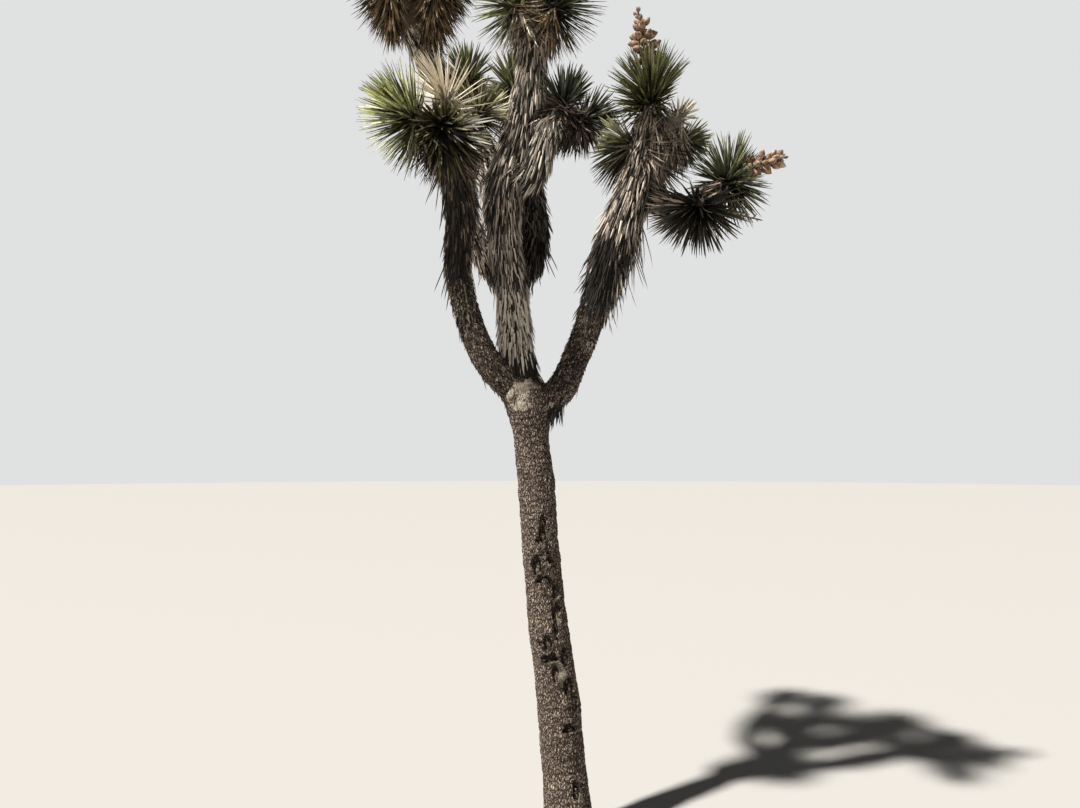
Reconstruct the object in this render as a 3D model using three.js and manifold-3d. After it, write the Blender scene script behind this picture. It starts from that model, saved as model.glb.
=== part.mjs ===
// A joshua tree (Yucca brevifolia), about 4.3 m tall: a slender leaning trunk with a root flare, a fork
// into three shaggy boughs, and heads of dagger leaves, two of them with a cluster of ripe fruit.
// Millimetres, +Z up. The origin is the middle of the flat cut under the trunk, at ground level.
import * as THREE from "three";
import { mergeVertices } from "three/addons/utils/BufferGeometryUtils.js";
import Module from "manifold-3d";

const wasm = await Module();
wasm.setup();

// Driving dimensions
const clearance = 0.3; // between pieces that meet
const cutBack = 0.6; // how much fatter a limb is when it is cut out of what meets it
const leafWidth = 24;
const leafThickness = 6;
const widestAt = 0.3; // share of a leaf's length from its root to its widest place
const shortestLeaf = 0.62; // a leaf cut back further than this share of its length is left off
const goldenAngle = Math.PI * (3 - Math.sqrt(5));
const barkSides = 14;
const barkRows = 28;
const barkUneven = 0.12; // how much the corky trunk's radius varies from place to place, as a share
const boughSides = 10;
const stemSides = 6;
const rootSwelling = 26;
const rootSwellingHeight = 60;
const rootSwellings = 4;
const shagRow = 118; // height of one row of hanging dead leaves
const shagLift = 9; // how far the row's lower edge stands out
const shagDrop = 17; // how far every second point of that edge hangs lower
const shagOverlap = 0.75; // where one row ends under the next, as a share of its height
const fruitLength = 66;
const fruitWidth = 44;

// The skeleton: named places that the limbs run through
const joints = {
  belowGround: [6, 0, -40],
  shin: [-54, 0, 600],
  waist: [-121, 0, 1180],
  chest: [-165, 0, 1740],
  fork: [-184, 0, 1905],
  forkTop: [-187, 0, 1975],
  leftKnee: [-375, -60, 2105],
  leftBend: [-487, -120, 2450],
  leftShoulder: [-478, -185, 2720],
  leftTop: [-512, -265, 2985],
  centreKnee: [-232, 0, 2110],
  centreWaist: [-258, 0, 2400],
  centreBend: [-300, 0, 2720],
  centreShoulder: [-292, 5, 2920],
  centreNeck: [-200, 0, 3240],
  centreTop: [-154, 0, 3640],
  upperLeftKnee: [-379, 60, 3038],
  upperLeftNeck: [-542, 115, 3347],
  upperLeftTop: [-733, 60, 3669],
  rearLeftKnee: [-454, 190, 2737],
  rearLeftNeck: [-519, 390, 3085],
  rearLeftTop: [-515, 600, 3550],
  rearKnee: [-160, 200, 2700],
  rearNeck: [-175, 340, 2990],
  rearTop: [-245, 505, 3440],
  innerRightKnee: [-163, -40, 2967],
  innerRightTop: [-90, -55, 3162],
  rightHeel: [-60, -15, 1945],
  rightKnee: [38, -40, 2130],
  rightBend: [118, -65, 2345],
  rightShoulder: [208, -80, 2630],
  rightNeck: [320, -95, 2930],
  rightTop: [368, -100, 3145],
  upperLeftFork: [-483, 105, 3196],
  rightSpur: [352, -98, 3040],
  sideElbow: [450, -135, 2760],
  sideSpur: [545, -162, 2765],
  sideTop: [610, -180, 2785],
};

// The trunk and the boughs, each after what it grows out of: the joints that it runs through, its radius at
// each of them, and how much of it is hung with dead leaves. A bough that bends is split at the bend.
const boughs = [
  { name: "trunk", along: ["belowGround", "shin", "waist", "chest", "fork", "forkTop"],
    girth: [104, 93, 84, 78, 98, 52], shaggy: "none" },
  { name: "left_bough", along: ["fork", "leftKnee", "leftBend", "leftShoulder", "leftTop"],
    girth: [66, 56, 52, 62, 68], splitAt: "leftBend", shaggy: "upper" },
  { name: "centre_bough", splitAt: "centreBend", shaggy: "all",
    along: ["fork", "centreKnee", "centreWaist", "centreBend", "centreShoulder", "centreNeck", "centreTop"],
    girth: [72, 72, 66, 68, 84, 76, 58] },
  { name: "upper_left_bough", girth: [52, 62, 60, 58, 50], shaggy: "all",
    along: ["centreBend", "upperLeftKnee", "upperLeftFork", "upperLeftNeck", "upperLeftTop"] },
  { name: "rear_left_bough", along: ["centreWaist", "rearLeftKnee", "rearLeftNeck", "rearLeftTop"],
    girth: [44, 52, 54, 48], shaggy: "all" },
  { name: "rear_bough", along: ["centreWaist", "rearKnee", "rearNeck", "rearTop"],
    girth: [44, 64, 58, 48], shaggy: "all" },
  { name: "inner_right_bough", along: ["centreShoulder", "innerRightKnee", "innerRightTop"],
    girth: [50, 58, 50], shaggy: "all" },
  { name: "right_bough", splitAt: "rightBend", shaggy: "upper",
    along: ["fork", "rightHeel", "rightKnee", "rightBend", "rightShoulder", "rightNeck", "rightSpur",
      "rightTop"],
    girth: [62, 62, 56, 58, 84, 78, 74, 66] },
  { name: "right_side_bough", along: ["rightNeck", "sideElbow", "sideSpur", "sideTop"],
    girth: [40, 44, 42, 40], shaggy: "all" },
];

// Each limb is a piece of its own: a whole bough, or the lower or upper part of one that is split
const limbs = boughs.flatMap((bough) => (bough.splitAt
  ? [
    { ...bough, name: `${bough.name}_lower`, ends: bough.splitAt, isShaggy: bough.shaggy === "all" },
    { ...bough, name: `${bough.name}_upper`, starts: bough.splitAt, isShaggy: true },
  ]
  : [{ ...bough, isShaggy: bough.shaggy === "all" }]));

// Each head of leaves: the joint that its stem rises from, its growing tip, its stem's radius, how much of
// the stem is leafy, its leaves' length, and how many living and dead ones. A spread is the widest lean of
// a living one.
const heads = [
  { name: "left_front_head", foot: "leftTop", tip: [-695, -420, 3082], core: 48, leafy: 230,
    leaf: 240, green: 30, dead: 10 },
  { name: "left_head", foot: "leftTop", tip: [-539, -425, 3038], core: 48, leafy: 170,
    leaf: 240, green: 34, dead: 14 },
  { name: "bleached_head", foot: "leftTop", tip: [-535, -335, 3220], core: 42, leafy: 180,
    leaf: 215, green: 14, dead: 0, spread: 60, bleached: true },
  { name: "left_inner_head", foot: "upperLeftFork", tip: [-399, -10, 3262], core: 32, leafy: 110,
    leaf: 190, green: 18, dead: 0 },
  { name: "upper_left_head", foot: "upperLeftTop", tip: [-880, 0, 4020], core: 66, leafy: 350,
    leaf: 245, green: 28, dead: 24 },
  { name: "upper_inner_head", foot: "upperLeftTop", tip: [-560, 20, 4070], core: 64, leafy: 350,
    leaf: 245, green: 28, dead: 24 },
  { name: "rear_left_head", foot: "rearLeftTop", tip: [-532, 645, 3760], core: 44, leafy: 210,
    leaf: 215, green: 26, dead: 8 },
  { name: "rear_head", foot: "rearTop", tip: [-272, 560, 3680], core: 44, leafy: 210,
    leaf: 215, green: 26, dead: 8 },
  { name: "top_head", foot: "centreTop", tip: [-140, 30, 4000], core: 54, leafy: 280,
    leaf: 245, green: 30, dead: 10 },
  { name: "top_right_head", foot: "centreTop", tip: [-25, -50, 3785], core: 44, leafy: 190,
    leaf: 245, green: 26, dead: 10 },
  { name: "top_left_head", foot: "centreTop", tip: [-268, -25, 3815], core: 44, leafy: 190,
    leaf: 240, green: 26, dead: 8 },
  { name: "inner_right_head", foot: "innerRightTop", tip: [-3, 70, 3346], core: 42, leafy: 140,
    leaf: 195, green: 22, dead: 8 },
  { name: "inner_right_side_head", foot: "innerRightTop", tip: [111, 90, 3268], core: 38, leafy: 140,
    leaf: 190, green: 20, dead: 8 },
  { name: "right_top_head", foot: "rightTop", tip: [368, -110, 3337], core: 50, leafy: 240,
    leaf: 235, green: 40, dead: 10 },
  { name: "right_rear_head", foot: "rightSpur", tip: [274, -10, 3115], core: 42, leafy: 170,
    leaf: 235, green: 28, dead: 8 },
  { name: "right_stub", foot: "rightSpur", tip: [531, -75, 3233], core: 54, leafy: 190,
    leaf: 200, green: 0, dead: 26, bleached: true },
  { name: "right_back_head", foot: "rightSpur", tip: [567, 50, 3149], core: 38, leafy: 170,
    leaf: 190, green: 20, dead: 4 },
  { name: "side_low_head", foot: "sideSpur", tip: [540, -330, 2712], core: 40, leafy: 150,
    leaf: 230, green: 26, dead: 6 },
  { name: "side_head", foot: "sideTop", tip: [738, -165, 2915], core: 42, leafy: 180,
    leaf: 215, green: 34, dead: 6 },
];

// Each cluster of fruit stands on the growing tip of a head
const clusters = [
  { name: "top_fruit_cluster", head: "right_top_head", axis: [-0.17, -0.02, 1],
    stalk: 345, bare: 140, fruits: 12 },
  { name: "side_fruit_cluster", head: "side_head", axis: [0.88, 0.1, 0.3],
    stalk: 235, bare: 85, fruits: 11 },
];

// The dry stalk of an old flower head, low on the side bough
const oldStalk = { name: "old_flower_stalk", foot: "sideSpur", on: "right_side_bough",
  end: [806, -262, 2668], girth: 7, twigs: 6, twigLength: 46 };

// Weathered hollows in the trunk: the height and the turn from the front in degrees of each, its half height,
// its half width and its depth
const hollows = [
  [1334, 12, 30, 18, 19],
  [1189, -18, 40, 19, 22],
  [1076, 38, 36, 16, 17],
  [955, 22, 85, 10, 13],
  [858, -10, 34, 19, 18],
  [796, -7, 18, 36, 22],
  [730, 2, 36, 13, 18],
  [672, 38, 32, 22, 20],
  [240, 26, 46, 14, 18],
];

const colours = {
  bark: 0x6b5d52,
  shag: 0x8a7c69,
  green: 0x7c8a3e,
  bleached: 0xc9bd96,
  fruit: 0xb98a5a,
};

const vector = (p) => new THREE.Vector3(...p);
const mix = THREE.MathUtils.lerp;
const named = (list, name) => list.find((entry) => entry.name === name);

// A seeded stream of numbers from 0 to 1, one for each sub-part, so that a change to one leaves the rest
// alone
function stream(seed) {
  let state = 2166136261;
  for (const letter of seed) state = Math.imul(state ^ letter.charCodeAt(0), 16777619) >>> 0;
  return () => {
    state = (Math.imul(state, 1664525) + 1013904223) >>> 0;
    return state / 4294967296;
  };
}

// A geometry's closed surface as a solid that can be joined and cut
function solid(geometry) {
  const bare = geometry.clone();
  bare.deleteAttribute("normal");
  bare.deleteAttribute("uv");
  const merged = mergeVertices(bare, 1e-3);
  const mesh = new wasm.Mesh({
    numProp: 3,
    vertProperties: Float32Array.from(merged.attributes.position.array),
    triVerts: Uint32Array.from(merged.index.array),
  });
  return new wasm.Manifold(mesh);
}

// The largest of a solid's separate bodies: cuts can leave loose crumbs
function largest(shape) {
  return shape.decompose().reduce((a, b) => (a.volume() > b.volume() ? a : b));
}

function geometryOf(shape) {
  const mesh = shape.getMesh();
  const geometry = new THREE.BufferGeometry();
  geometry.setAttribute("position", new THREE.BufferAttribute(Float32Array.from(mesh.vertProperties), 3));
  geometry.setIndex(new THREE.BufferAttribute(Uint32Array.from(mesh.triVerts), 1));
  geometry.computeVertexNormals();
  return geometry;
}

// A limb's course: its curve, its length, and its radius at a share of its length
function courseOf(limb) {
  const places = limb.along.map((name) => vector(joints[name]));
  const whole = new THREE.CatmullRomCurve3(places, false, "centripetal");
  const last = limb.along.length - 1;
  const first = limb.along.indexOf(limb.starts ?? limb.along[0]);
  const count = limb.along.indexOf(limb.ends ?? limb.along[last]) - first;
  const steps = 24 * count;
  const points = Array.from({ length: steps + 1 }, (_, i) => whole.getPoint((first + i / 24) / last));
  const curve = new THREE.CatmullRomCurve3(points);
  const lengths = curve.getLengths(steps);
  const length = lengths[steps];
  const girth = limb.girth.slice(first, first + count + 1);
  const shares = girth.map((_, i) => lengths[24 * i] / length);
  const radius = (share) => {
    const i = Math.max(0, shares.findIndex((s, k) => k > 0 && share <= s + 1e-6) - 1);
    return mix(girth[i], girth[i + 1], THREE.MathUtils.smoothstep(share, shares[i], shares[i + 1]));
  };
  return { curve, radius, length };
}

// A straight course, for stems and twigs
function straight(from, to) {
  return { curve: new THREE.LineCurve3(from, to), length: from.distanceTo(to) };
}

// Bends a closed cylinder along a course. place(row, side, isEnd) gives the share along it and the radius
// there. All of it then grows by the same amount, sideways and at both ends.
function bentCylinder(course, sides, rows, grow, place) {
  const geometry = new THREE.CylinderGeometry(1, 1, 1, sides, rows);
  const steps = 400;
  const frames = course.curve.computeFrenetFrames(steps, false);
  const position = geometry.attributes.position;
  const corner = new THREE.Vector3();
  for (let i = 0; i < position.count; i++) {
    corner.fromBufferAttribute(position, i);
    const row = Math.round((corner.y + 0.5) * rows);
    const side = Math.round((Math.atan2(corner.x, corner.z) / (2 * Math.PI) + 1) * sides) % sides;
    const angle = (side / sides) * 2 * Math.PI;
    const isRim = Math.hypot(corner.x, corner.z) > 0.5;
    const isEnd = row === 0 || row === rows;
    const { share, radius } = place(row, side, isEnd);
    const reach = isRim ? radius + grow : 0;
    const frame = Math.round(share * steps);
    corner.copy(course.curve.getPointAt(share));
    corner.addScaledVector(frames.normals[frame], Math.sin(angle) * reach);
    corner.addScaledVector(frames.binormals[frame], -Math.cos(angle) * reach);
    if (isEnd) corner.addScaledVector(frames.tangents[frame], row === 0 ? -grow : grow);
    position.setXYZ(i, corner.x, corner.y, corner.z);
  }
  return solid(geometry);
}

// The trunk's corky column: an uneven round, with the swelling of the roots at its foot
function barkTube(limb, course, grow) {
  const random = stream(limb.name);
  const places = (barkRows + 1) * barkSides;
  const uneven = Array.from({ length: places }, () => 1 + barkUneven * (random() - 0.5));
  return bentCylinder(course, barkSides, barkRows, grow, (row, side) => {
    const share = row / barkRows;
    const height = Math.max(0, share * course.length + joints.belowGround[2]);
    const buttress = 1 + 0.35 * Math.cos((2 * Math.PI * side * rootSwellings) / barkSides);
    const swelling = rootSwelling * Math.exp(-height / rootSwellingHeight) * buttress;
    return { share, radius: course.radius(share) * uneven[row * barkSides + side] + swelling };
  });
}

// A weathered hollow, as the blunt lens that is cut out of the trunk's side
function hollowShape(course, [height, turn, halfHeight, halfWidth, depth]) {
  const share = (height - joints.belowGround[2]) / (joints.forkTop[2] - joints.belowGround[2]);
  const middle = course.curve.getPointAt(share);
  const angle = THREE.MathUtils.degToRad(turn);
  const geometry = new THREE.OctahedronGeometry(1, 1);
  geometry.scale(halfWidth, depth, halfHeight);
  geometry.rotateZ(angle);
  const reach = course.radius(share);
  geometry.translate(middle.x + Math.sin(angle) * reach, middle.y - Math.cos(angle) * reach, height);
  return solid(geometry);
}

// A smooth bough, whose dead leaves have fallen
function smoothTube(limb, course, grow) {
  const rows = Math.max(4, Math.round(course.length / 70));
  const random = stream(limb.name);
  const uneven = Array.from({ length: (rows + 1) * boughSides }, () => 1 + 0.09 * (random() - 0.5));
  return bentCylinder(course, boughSides, rows, grow, (row, side) => {
    const share = row / rows;
    return { share, radius: course.radius(share) * uneven[row * boughSides + side] };
  });
}

// A shaggy bough: rows of dead leaves that hang over each other, each row's lower edge standing out in
// points. Near the limb that it grows out of, the rows lie flat.
function shaggyTube(limb, course, grow) {
  const rows = Math.max(3, Math.round(course.length / shagRow));
  const random = stream(limb.name);
  const chances = Array.from({ length: (2 * rows + 1) * boughSides }, () => random());
  return bentCylinder(course, boughSides, 2 * rows, grow, (row, side, isEnd) => {
    const isEdge = row % 2 === 0;
    const flat = (Math.floor(row / 2) + (isEdge ? 0 : shagOverlap)) / rows;
    const settled = !limb.starts ? THREE.MathUtils.smoothstep(flat * course.length, 90, 220) : 1;
    const stands = (side % 2 === 0 ? 1 : 0) + 0.5 * chances[row * boughSides + side];
    const drop = isEnd || !isEdge ? 0 : (settled * shagDrop * stands) / 1.5 / course.length;
    const lift = isEnd ? 0 : settled * shagLift * (isEdge ? 0.5 + stands : -0.5);
    return { share: flat - drop, radius: course.radius(flat) + lift };
  });
}

function limbShape(limb, grow = 0) {
  const course = courseOf(limb);
  if (limb.name === "trunk") return barkTube(limb, course, grow);
  return limb.isShaggy ? shaggyTube(limb, course, grow) : smoothTube(limb, course, grow);
}

// A limb cut clear of the limbs before it, and the trunk cut flat at the ground
function limbSolid(limb) {
  const earlier = limbs.slice(0, limbs.indexOf(limb));
  let shape = limbShape(limb);
  for (const other of earlier) shape = shape.subtract(limbShape(other, cutBack));
  if (limb.name === "trunk") {
    const ground = new THREE.BoxGeometry(1000, 1000, 200).translate(0, 0, -100);
    shape = shape.subtract(solid(ground));
    const course = courseOf(limb);
    for (const hollow of hollows) shape = shape.subtract(hollowShape(course, hollow));
  }
  return largest(shape);
}

// The thick stem that a head's leaves stand on
function stemShape(head, grow = 0) {
  const shares = [0, 0.35, 0.66, 0.88, 1];
  const widths = [0.95, 1, 0.88, 0.62, 0.25];
  const rows = shares.length - 1;
  const course = straight(vector(joints[head.foot]), vector(head.tip));
  return bentCylinder(course, stemSides, rows, grow, (row) =>
    ({ share: shares[row], radius: head.core * widths[row] }));
}

// The stem cut clear of the limbs, and of the stems before it
function stemSolid(head) {
  const earlier = heads.slice(0, heads.indexOf(head));
  let shape = stemShape(head);
  for (const limb of limbs) shape = shape.subtract(limbShape(limb, cutBack));
  for (const other of earlier) shape = shape.subtract(stemShape(other, cutBack));
  return largest(shape);
}

// The distance from a point to a head's stem
function distanceToStem(point, head) {
  const stem = new THREE.Line3(vector(joints[head.foot]), vector(head.tip));
  return stem.closestPointToPoint(point, true, new THREE.Vector3()).distanceTo(point);
}

// A head's own space is what lies nearer to its stem than to any other stem
function isOwnSpace(point, head) {
  const own = distanceToStem(point, head) + 0.5 * leafWidth;
  return heads.every((other) => other === head || distanceToStem(point, other) > own);
}

// How much of a leaf is in its head's own space, as a share of its length
function freeShare(root, direction, length, head) {
  const steps = 10;
  for (let i = 4; i <= steps; i++) {
    const point = root.clone().addScaledVector(direction, (length * i) / steps);
    if (!isOwnSpace(point, head)) return (i - 1) / steps;
  }
  return 1;
}

// One dagger leaf: a long flat blade of eight faces, its root sunk in the stem
function leafSolid(root, direction, length, stemAxis) {
  const across = new THREE.Vector3().crossVectors(stemAxis, direction).normalize();
  const through = new THREE.Vector3().crossVectors(direction, across);
  const geometry = new THREE.OctahedronGeometry(1, 0);
  const position = geometry.attributes.position;
  for (let i = 0; i < position.count; i++) {
    const end = position.getX(i);
    const along = length * (end < -0.5 ? 0 : end > 0.5 ? 1 : widestAt);
    const corner = root.clone().addScaledVector(direction, along);
    corner.addScaledVector(across, (position.getY(i) * leafWidth) / 2);
    corner.addScaledVector(through, (position.getZ(i) * leafThickness) / 2);
    position.setXYZ(i, corner.x, corner.y, corner.z);
  }
  return solid(geometry);
}

// Two directions square to an axis
function acrossAxis(axis) {
  const reference = new THREE.Vector3(...(Math.abs(axis.z) < 0.9 ? [0, 0, 1] : [0, 1, 0]));
  const sideways = new THREE.Vector3().crossVectors(reference, axis).normalize();
  return [sideways, new THREE.Vector3().crossVectors(axis, sideways)];
}

// The direction at a turn round an axis, leaning out from it
function leaning(axis, turn, lean) {
  const [sideways, upright] = acrossAxis(axis);
  return axis.clone().multiplyScalar(Math.cos(lean))
    .addScaledVector(sideways, Math.sin(lean) * Math.cos(turn))
    .addScaledVector(upright, Math.sin(lean) * Math.sin(turn));
}

// A head's leaves by one rule: each turns on by the golden angle and leans further out than the last,
// living ones from the growing tip down, then dead ones that hang
function leavesOf(head) {
  const random = stream(head.name);
  const foot = vector(joints[head.foot]);
  const tip = vector(head.tip);
  const axis = tip.clone().sub(foot).normalize();
  const stem = Math.min(tip.distanceTo(foot), head.leafy);
  const leaves = [];
  for (let i = 0; i < head.green + head.dead; i++) {
    const isLiving = i < head.green;
    const share = isLiving ? (i + 0.5) / head.green : (i - head.green + 0.5) / head.dead;
    const degrees = isLiving ? mix(7, head.spread ?? 102, share ** 0.75) : mix(98, 126, share);
    const direction = leaning(axis, i * goldenAngle + 0.5 * random(), THREE.MathUtils.degToRad(degrees));
    direction.z -= isLiving ? 0.06 : 0.42;
    direction.normalize();
    const below = stem * (isLiving ? mix(0.08, 0.55, share) : mix(0.4, 0.75, share));
    const root = tip.clone().addScaledVector(axis, -below);
    const fullLength = head.leaf * (isLiving ? mix(0.78, 1, Math.sqrt(share)) : 0.95);
    const length = fullLength * (1 + 0.12 * (random() - 0.5));
    const free = freeShare(root, direction, length, head);
    if (free >= shortestLeaf) leaves.push(leafSolid(root, direction, length * free, axis));
  }
  return leaves;
}

// A head: its stem with each leaf that stays clear of everything else
function headSolid(head, stem, others) {
  let shape = stem;
  for (const leaf of leavesOf(head)) {
    if (others.every((other) => leaf.minGap(other, 2 * clearance) > clearance)) shape = shape.add(leaf);
  }
  return largest(shape);
}

// A straight tapering twig
function twigSolid(from, to, fromRadius, toRadius, sides) {
  return bentCylinder(straight(from, to), sides, 1, 0, (row) =>
    ({ share: row, radius: row ? toRadius : fromRadius }));
}

// A ripe fruit: a plump pod, its root sunk in the stalk
function fruitSolid(root, direction) {
  const geometry = new THREE.IcosahedronGeometry(0.5, 0);
  geometry.scale(fruitWidth, fruitWidth, fruitLength);
  const turn = new THREE.Quaternion().setFromUnitVectors(new THREE.Vector3(0, 0, 1), direction);
  geometry.applyQuaternion(turn);
  geometry.translate(...root.clone().addScaledVector(direction, fruitLength * 0.55).toArray());
  return solid(geometry);
}

// A cluster of fruit: pods turn round one stalk, from above its bare foot to its tip
function clusterSolid(cluster) {
  const random = stream(cluster.name);
  const head = named(heads, cluster.head);
  const axis = vector(cluster.axis).normalize();
  const foot = vector(head.tip).addScaledVector(axis, -15);
  const end = foot.clone().addScaledVector(axis, cluster.stalk);
  let shape = twigSolid(foot, end, 12, 7, 5);
  for (let i = 0; i < cluster.fruits; i++) {
    const share = (i + 0.5) / cluster.fruits;
    const root = foot.clone().addScaledVector(axis, mix(cluster.bare, cluster.stalk - 5, share));
    const lean = THREE.MathUtils.degToRad(mix(95, 28, share));
    shape = shape.add(fruitSolid(root, leaning(axis, i * goldenAngle + 0.4 * random(), lean)));
  }
  return largest(shape.subtract(stemShape(head, cutBack)));
}

// The old flower stalk: one bare stalk with short twigs that turn round it
function oldStalkSolid() {
  const random = stream(oldStalk.name);
  const root = vector(joints[oldStalk.foot]);
  const end = vector(oldStalk.end);
  const axis = end.clone().sub(root).normalize();
  let shape = twigSolid(root, end, oldStalk.girth, oldStalk.girth * 0.4, 5);
  for (let i = 0; i < oldStalk.twigs; i++) {
    const share = mix(0.45, 0.95, i / (oldStalk.twigs - 1));
    const from = root.clone().lerp(end, share);
    const direction = leaning(axis, i * goldenAngle + random(), THREE.MathUtils.degToRad(55));
    const to = from.clone().addScaledVector(direction, oldStalk.twigLength * mix(1, 0.5, share));
    shape = shape.add(twigSolid(from, to, 4, 2, 4));
  }
  return largest(shape.subtract(limbShape(named(limbs, oldStalk.on), cutBack)));
}

const tree = new THREE.Group();

function addNode(name, shape, colour, roughness) {
  const material = new THREE.MeshStandardMaterial({ color: colour, roughness, metalness: 0 });
  const mesh = new THREE.Mesh(geometryOf(shape), material);
  mesh.name = name;
  tree.add(mesh);
}

const solids = new Map();
for (const limb of limbs) solids.set(limb.name, limbSolid(limb));
for (const cluster of clusters) solids.set(cluster.name, clusterSolid(cluster));
solids.set(oldStalk.name, oldStalkSolid());
for (const head of heads) solids.set(head.name, stemSolid(head));
for (const head of heads) {
  const others = [...solids].filter(([name]) => name !== head.name).map(([, shape]) => shape);
  solids.set(head.name, headSolid(head, solids.get(head.name), others));
}

for (const limb of limbs) {
  addNode(limb.name, solids.get(limb.name), limb.isShaggy ? colours.shag : colours.bark, 0.95);
}
for (const head of heads) {
  addNode(head.name, solids.get(head.name), head.bleached ? colours.bleached : colours.green, 0.6);
}
for (const cluster of clusters) addNode(cluster.name, solids.get(cluster.name), colours.fruit, 0.8);
addNode(oldStalk.name, solids.get(oldStalk.name), colours.shag, 0.9);

export default tree;
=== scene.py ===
import math
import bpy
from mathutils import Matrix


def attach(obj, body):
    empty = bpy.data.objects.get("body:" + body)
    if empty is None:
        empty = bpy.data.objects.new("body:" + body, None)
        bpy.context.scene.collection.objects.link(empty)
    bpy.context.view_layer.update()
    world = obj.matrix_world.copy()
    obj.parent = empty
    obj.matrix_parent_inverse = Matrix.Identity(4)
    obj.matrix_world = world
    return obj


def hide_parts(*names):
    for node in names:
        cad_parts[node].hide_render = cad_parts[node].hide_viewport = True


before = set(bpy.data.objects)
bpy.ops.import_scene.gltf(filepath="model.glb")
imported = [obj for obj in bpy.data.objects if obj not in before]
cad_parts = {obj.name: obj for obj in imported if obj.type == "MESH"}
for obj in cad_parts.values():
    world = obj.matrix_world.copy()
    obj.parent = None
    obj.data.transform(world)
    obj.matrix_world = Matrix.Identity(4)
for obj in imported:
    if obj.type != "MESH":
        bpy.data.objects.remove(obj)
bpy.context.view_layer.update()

import zlib
from dataclasses import dataclass

import bpy
import numpy as np

bl_info = {
    "name": "Joshua Tree",
    "version": (1, 0, 0),
    "blender": (4, 5, 0),
    "location": "View3D > Sidebar > Joshua Tree",
    "description": "A joshua tree: corky trunk, thatched boughs, heads of dagger leaves, ripe fruit",
    "category": "Add Mesh",
}

# Units are metres and Z is up. The origin is the middle of the flat cut under the trunk. The joints, lines,
# heads, clusters and scars are in millimetres, as in the part's source.
MM = 0.001
FULL_TURN = 2 * math.pi
GOLDEN_ANGLE = math.pi * (3 - math.sqrt(5))
DOWN = np.array([0.0, 0.0, -1.0])
SUNWARD = np.array([-0.47, -0.33, 0.82])

JOINTS = {
    "belowGround": (6, 0, -40),
    "shin": (-54, 0, 600),
    "waist": (-121, 0, 1180),
    "chest": (-165, 0, 1740),
    "fork": (-184, 0, 1905),
    "forkTop": (-187, 0, 1975),
    "leftKnee": (-375, -60, 2105),
    "leftBend": (-487, -120, 2450),
    "leftShoulder": (-478, -185, 2720),
    "leftTop": (-512, -265, 2985),
    "centreKnee": (-232, 0, 2110),
    "centreWaist": (-258, 0, 2400),
    "centreBend": (-300, 0, 2720),
    "centreShoulder": (-292, 5, 2920),
    "centreNeck": (-200, 0, 3240),
    "centreTop": (-154, 0, 3640),
    "upperLeftKnee": (-379, 60, 3038),
    "upperLeftFork": (-483, 105, 3196),
    "upperLeftNeck": (-542, 115, 3347),
    "upperLeftTop": (-733, 60, 3669),
    "rearLeftKnee": (-454, 190, 2737),
    "rearLeftNeck": (-519, 390, 3085),
    "rearLeftTop": (-515, 600, 3550),
    "rearKnee": (-160, 200, 2700),
    "rearNeck": (-175, 340, 2990),
    "rearTop": (-245, 505, 3440),
    "innerRightKnee": (-163, -40, 2967),
    "innerRightTop": (-90, -55, 3162),
    "rightHeel": (-60, -15, 1945),
    "rightKnee": (38, -40, 2130),
    "rightBend": (118, -65, 2345),
    "rightShoulder": (208, -80, 2630),
    "rightNeck": (320, -95, 2930),
    "rightSpur": (352, -98, 3040),
    "rightTop": (368, -100, 3145),
    "sideElbow": (450, -135, 2760),
    "sideSpur": (545, -162, 2765),
    "sideTop": (610, -180, 2785),
}

# The joints that each line runs through, with its radius at each
LINES = {
    "trunk": {"belowGround": 104, "shin": 93, "waist": 84, "chest": 78, "fork": 98, "forkTop": 52},
    "left": {"fork": 66, "leftKnee": 56, "leftBend": 52, "leftShoulder": 62, "leftTop": 68},
    "centre": {"fork": 72, "centreKnee": 72, "centreWaist": 66, "centreBend": 68, "centreShoulder": 84,
               "centreNeck": 76, "centreTop": 58},
    "upper_left": {"centreBend": 52, "upperLeftKnee": 62, "upperLeftFork": 60, "upperLeftNeck": 58,
                   "upperLeftTop": 50},
    "rear_left": {"centreWaist": 44, "rearLeftKnee": 52, "rearLeftNeck": 54, "rearLeftTop": 48},
    "rear": {"centreWaist": 44, "rearKnee": 64, "rearNeck": 58, "rearTop": 48},
    "inner_right": {"centreShoulder": 50, "innerRightKnee": 58, "innerRightTop": 50},
    "right": {"fork": 62, "rightHeel": 62, "rightKnee": 56, "rightBend": 58, "rightShoulder": 84,
              "rightNeck": 78, "rightSpur": 74, "rightTop": 66},
    "right_side": {"rightNeck": 40, "sideElbow": 44, "sideSpur": 42, "sideTop": 40},
}
# The tone past the five of a limb's colour: a near-black painted shadow, for leaves where other limbs and
# heads cast shade
PAINTED_SHADOW = 5


@dataclass
class Limb:
    """The trunk, or a bough or piece of one. A limb with no tone is bare bark."""

    name: str
    line: str
    starts: str = ""
    ends: str = ""
    tone: str = ""
    lie: float = 1.0  # length of the dead leaves and their distance from each other
    stray: float = 0.025  # share of the dead leaves that stand off
    # Patches of other tones: the stretch, the turn of the middle and the half width in degrees, and how many
    # steps paler. Many are painted light and shade: paler patches where sun falls, darker ones and painted
    # shadow where other limbs shade the bough
    sprays: tuple = ()
    # Leaves that hang free from one side: how many, the stretch, and the turn of that side in degrees
    fringe: tuple = ()

    @property
    def slot(self):
        return "hanging_leaves" if self.tone else "bark"


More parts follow.
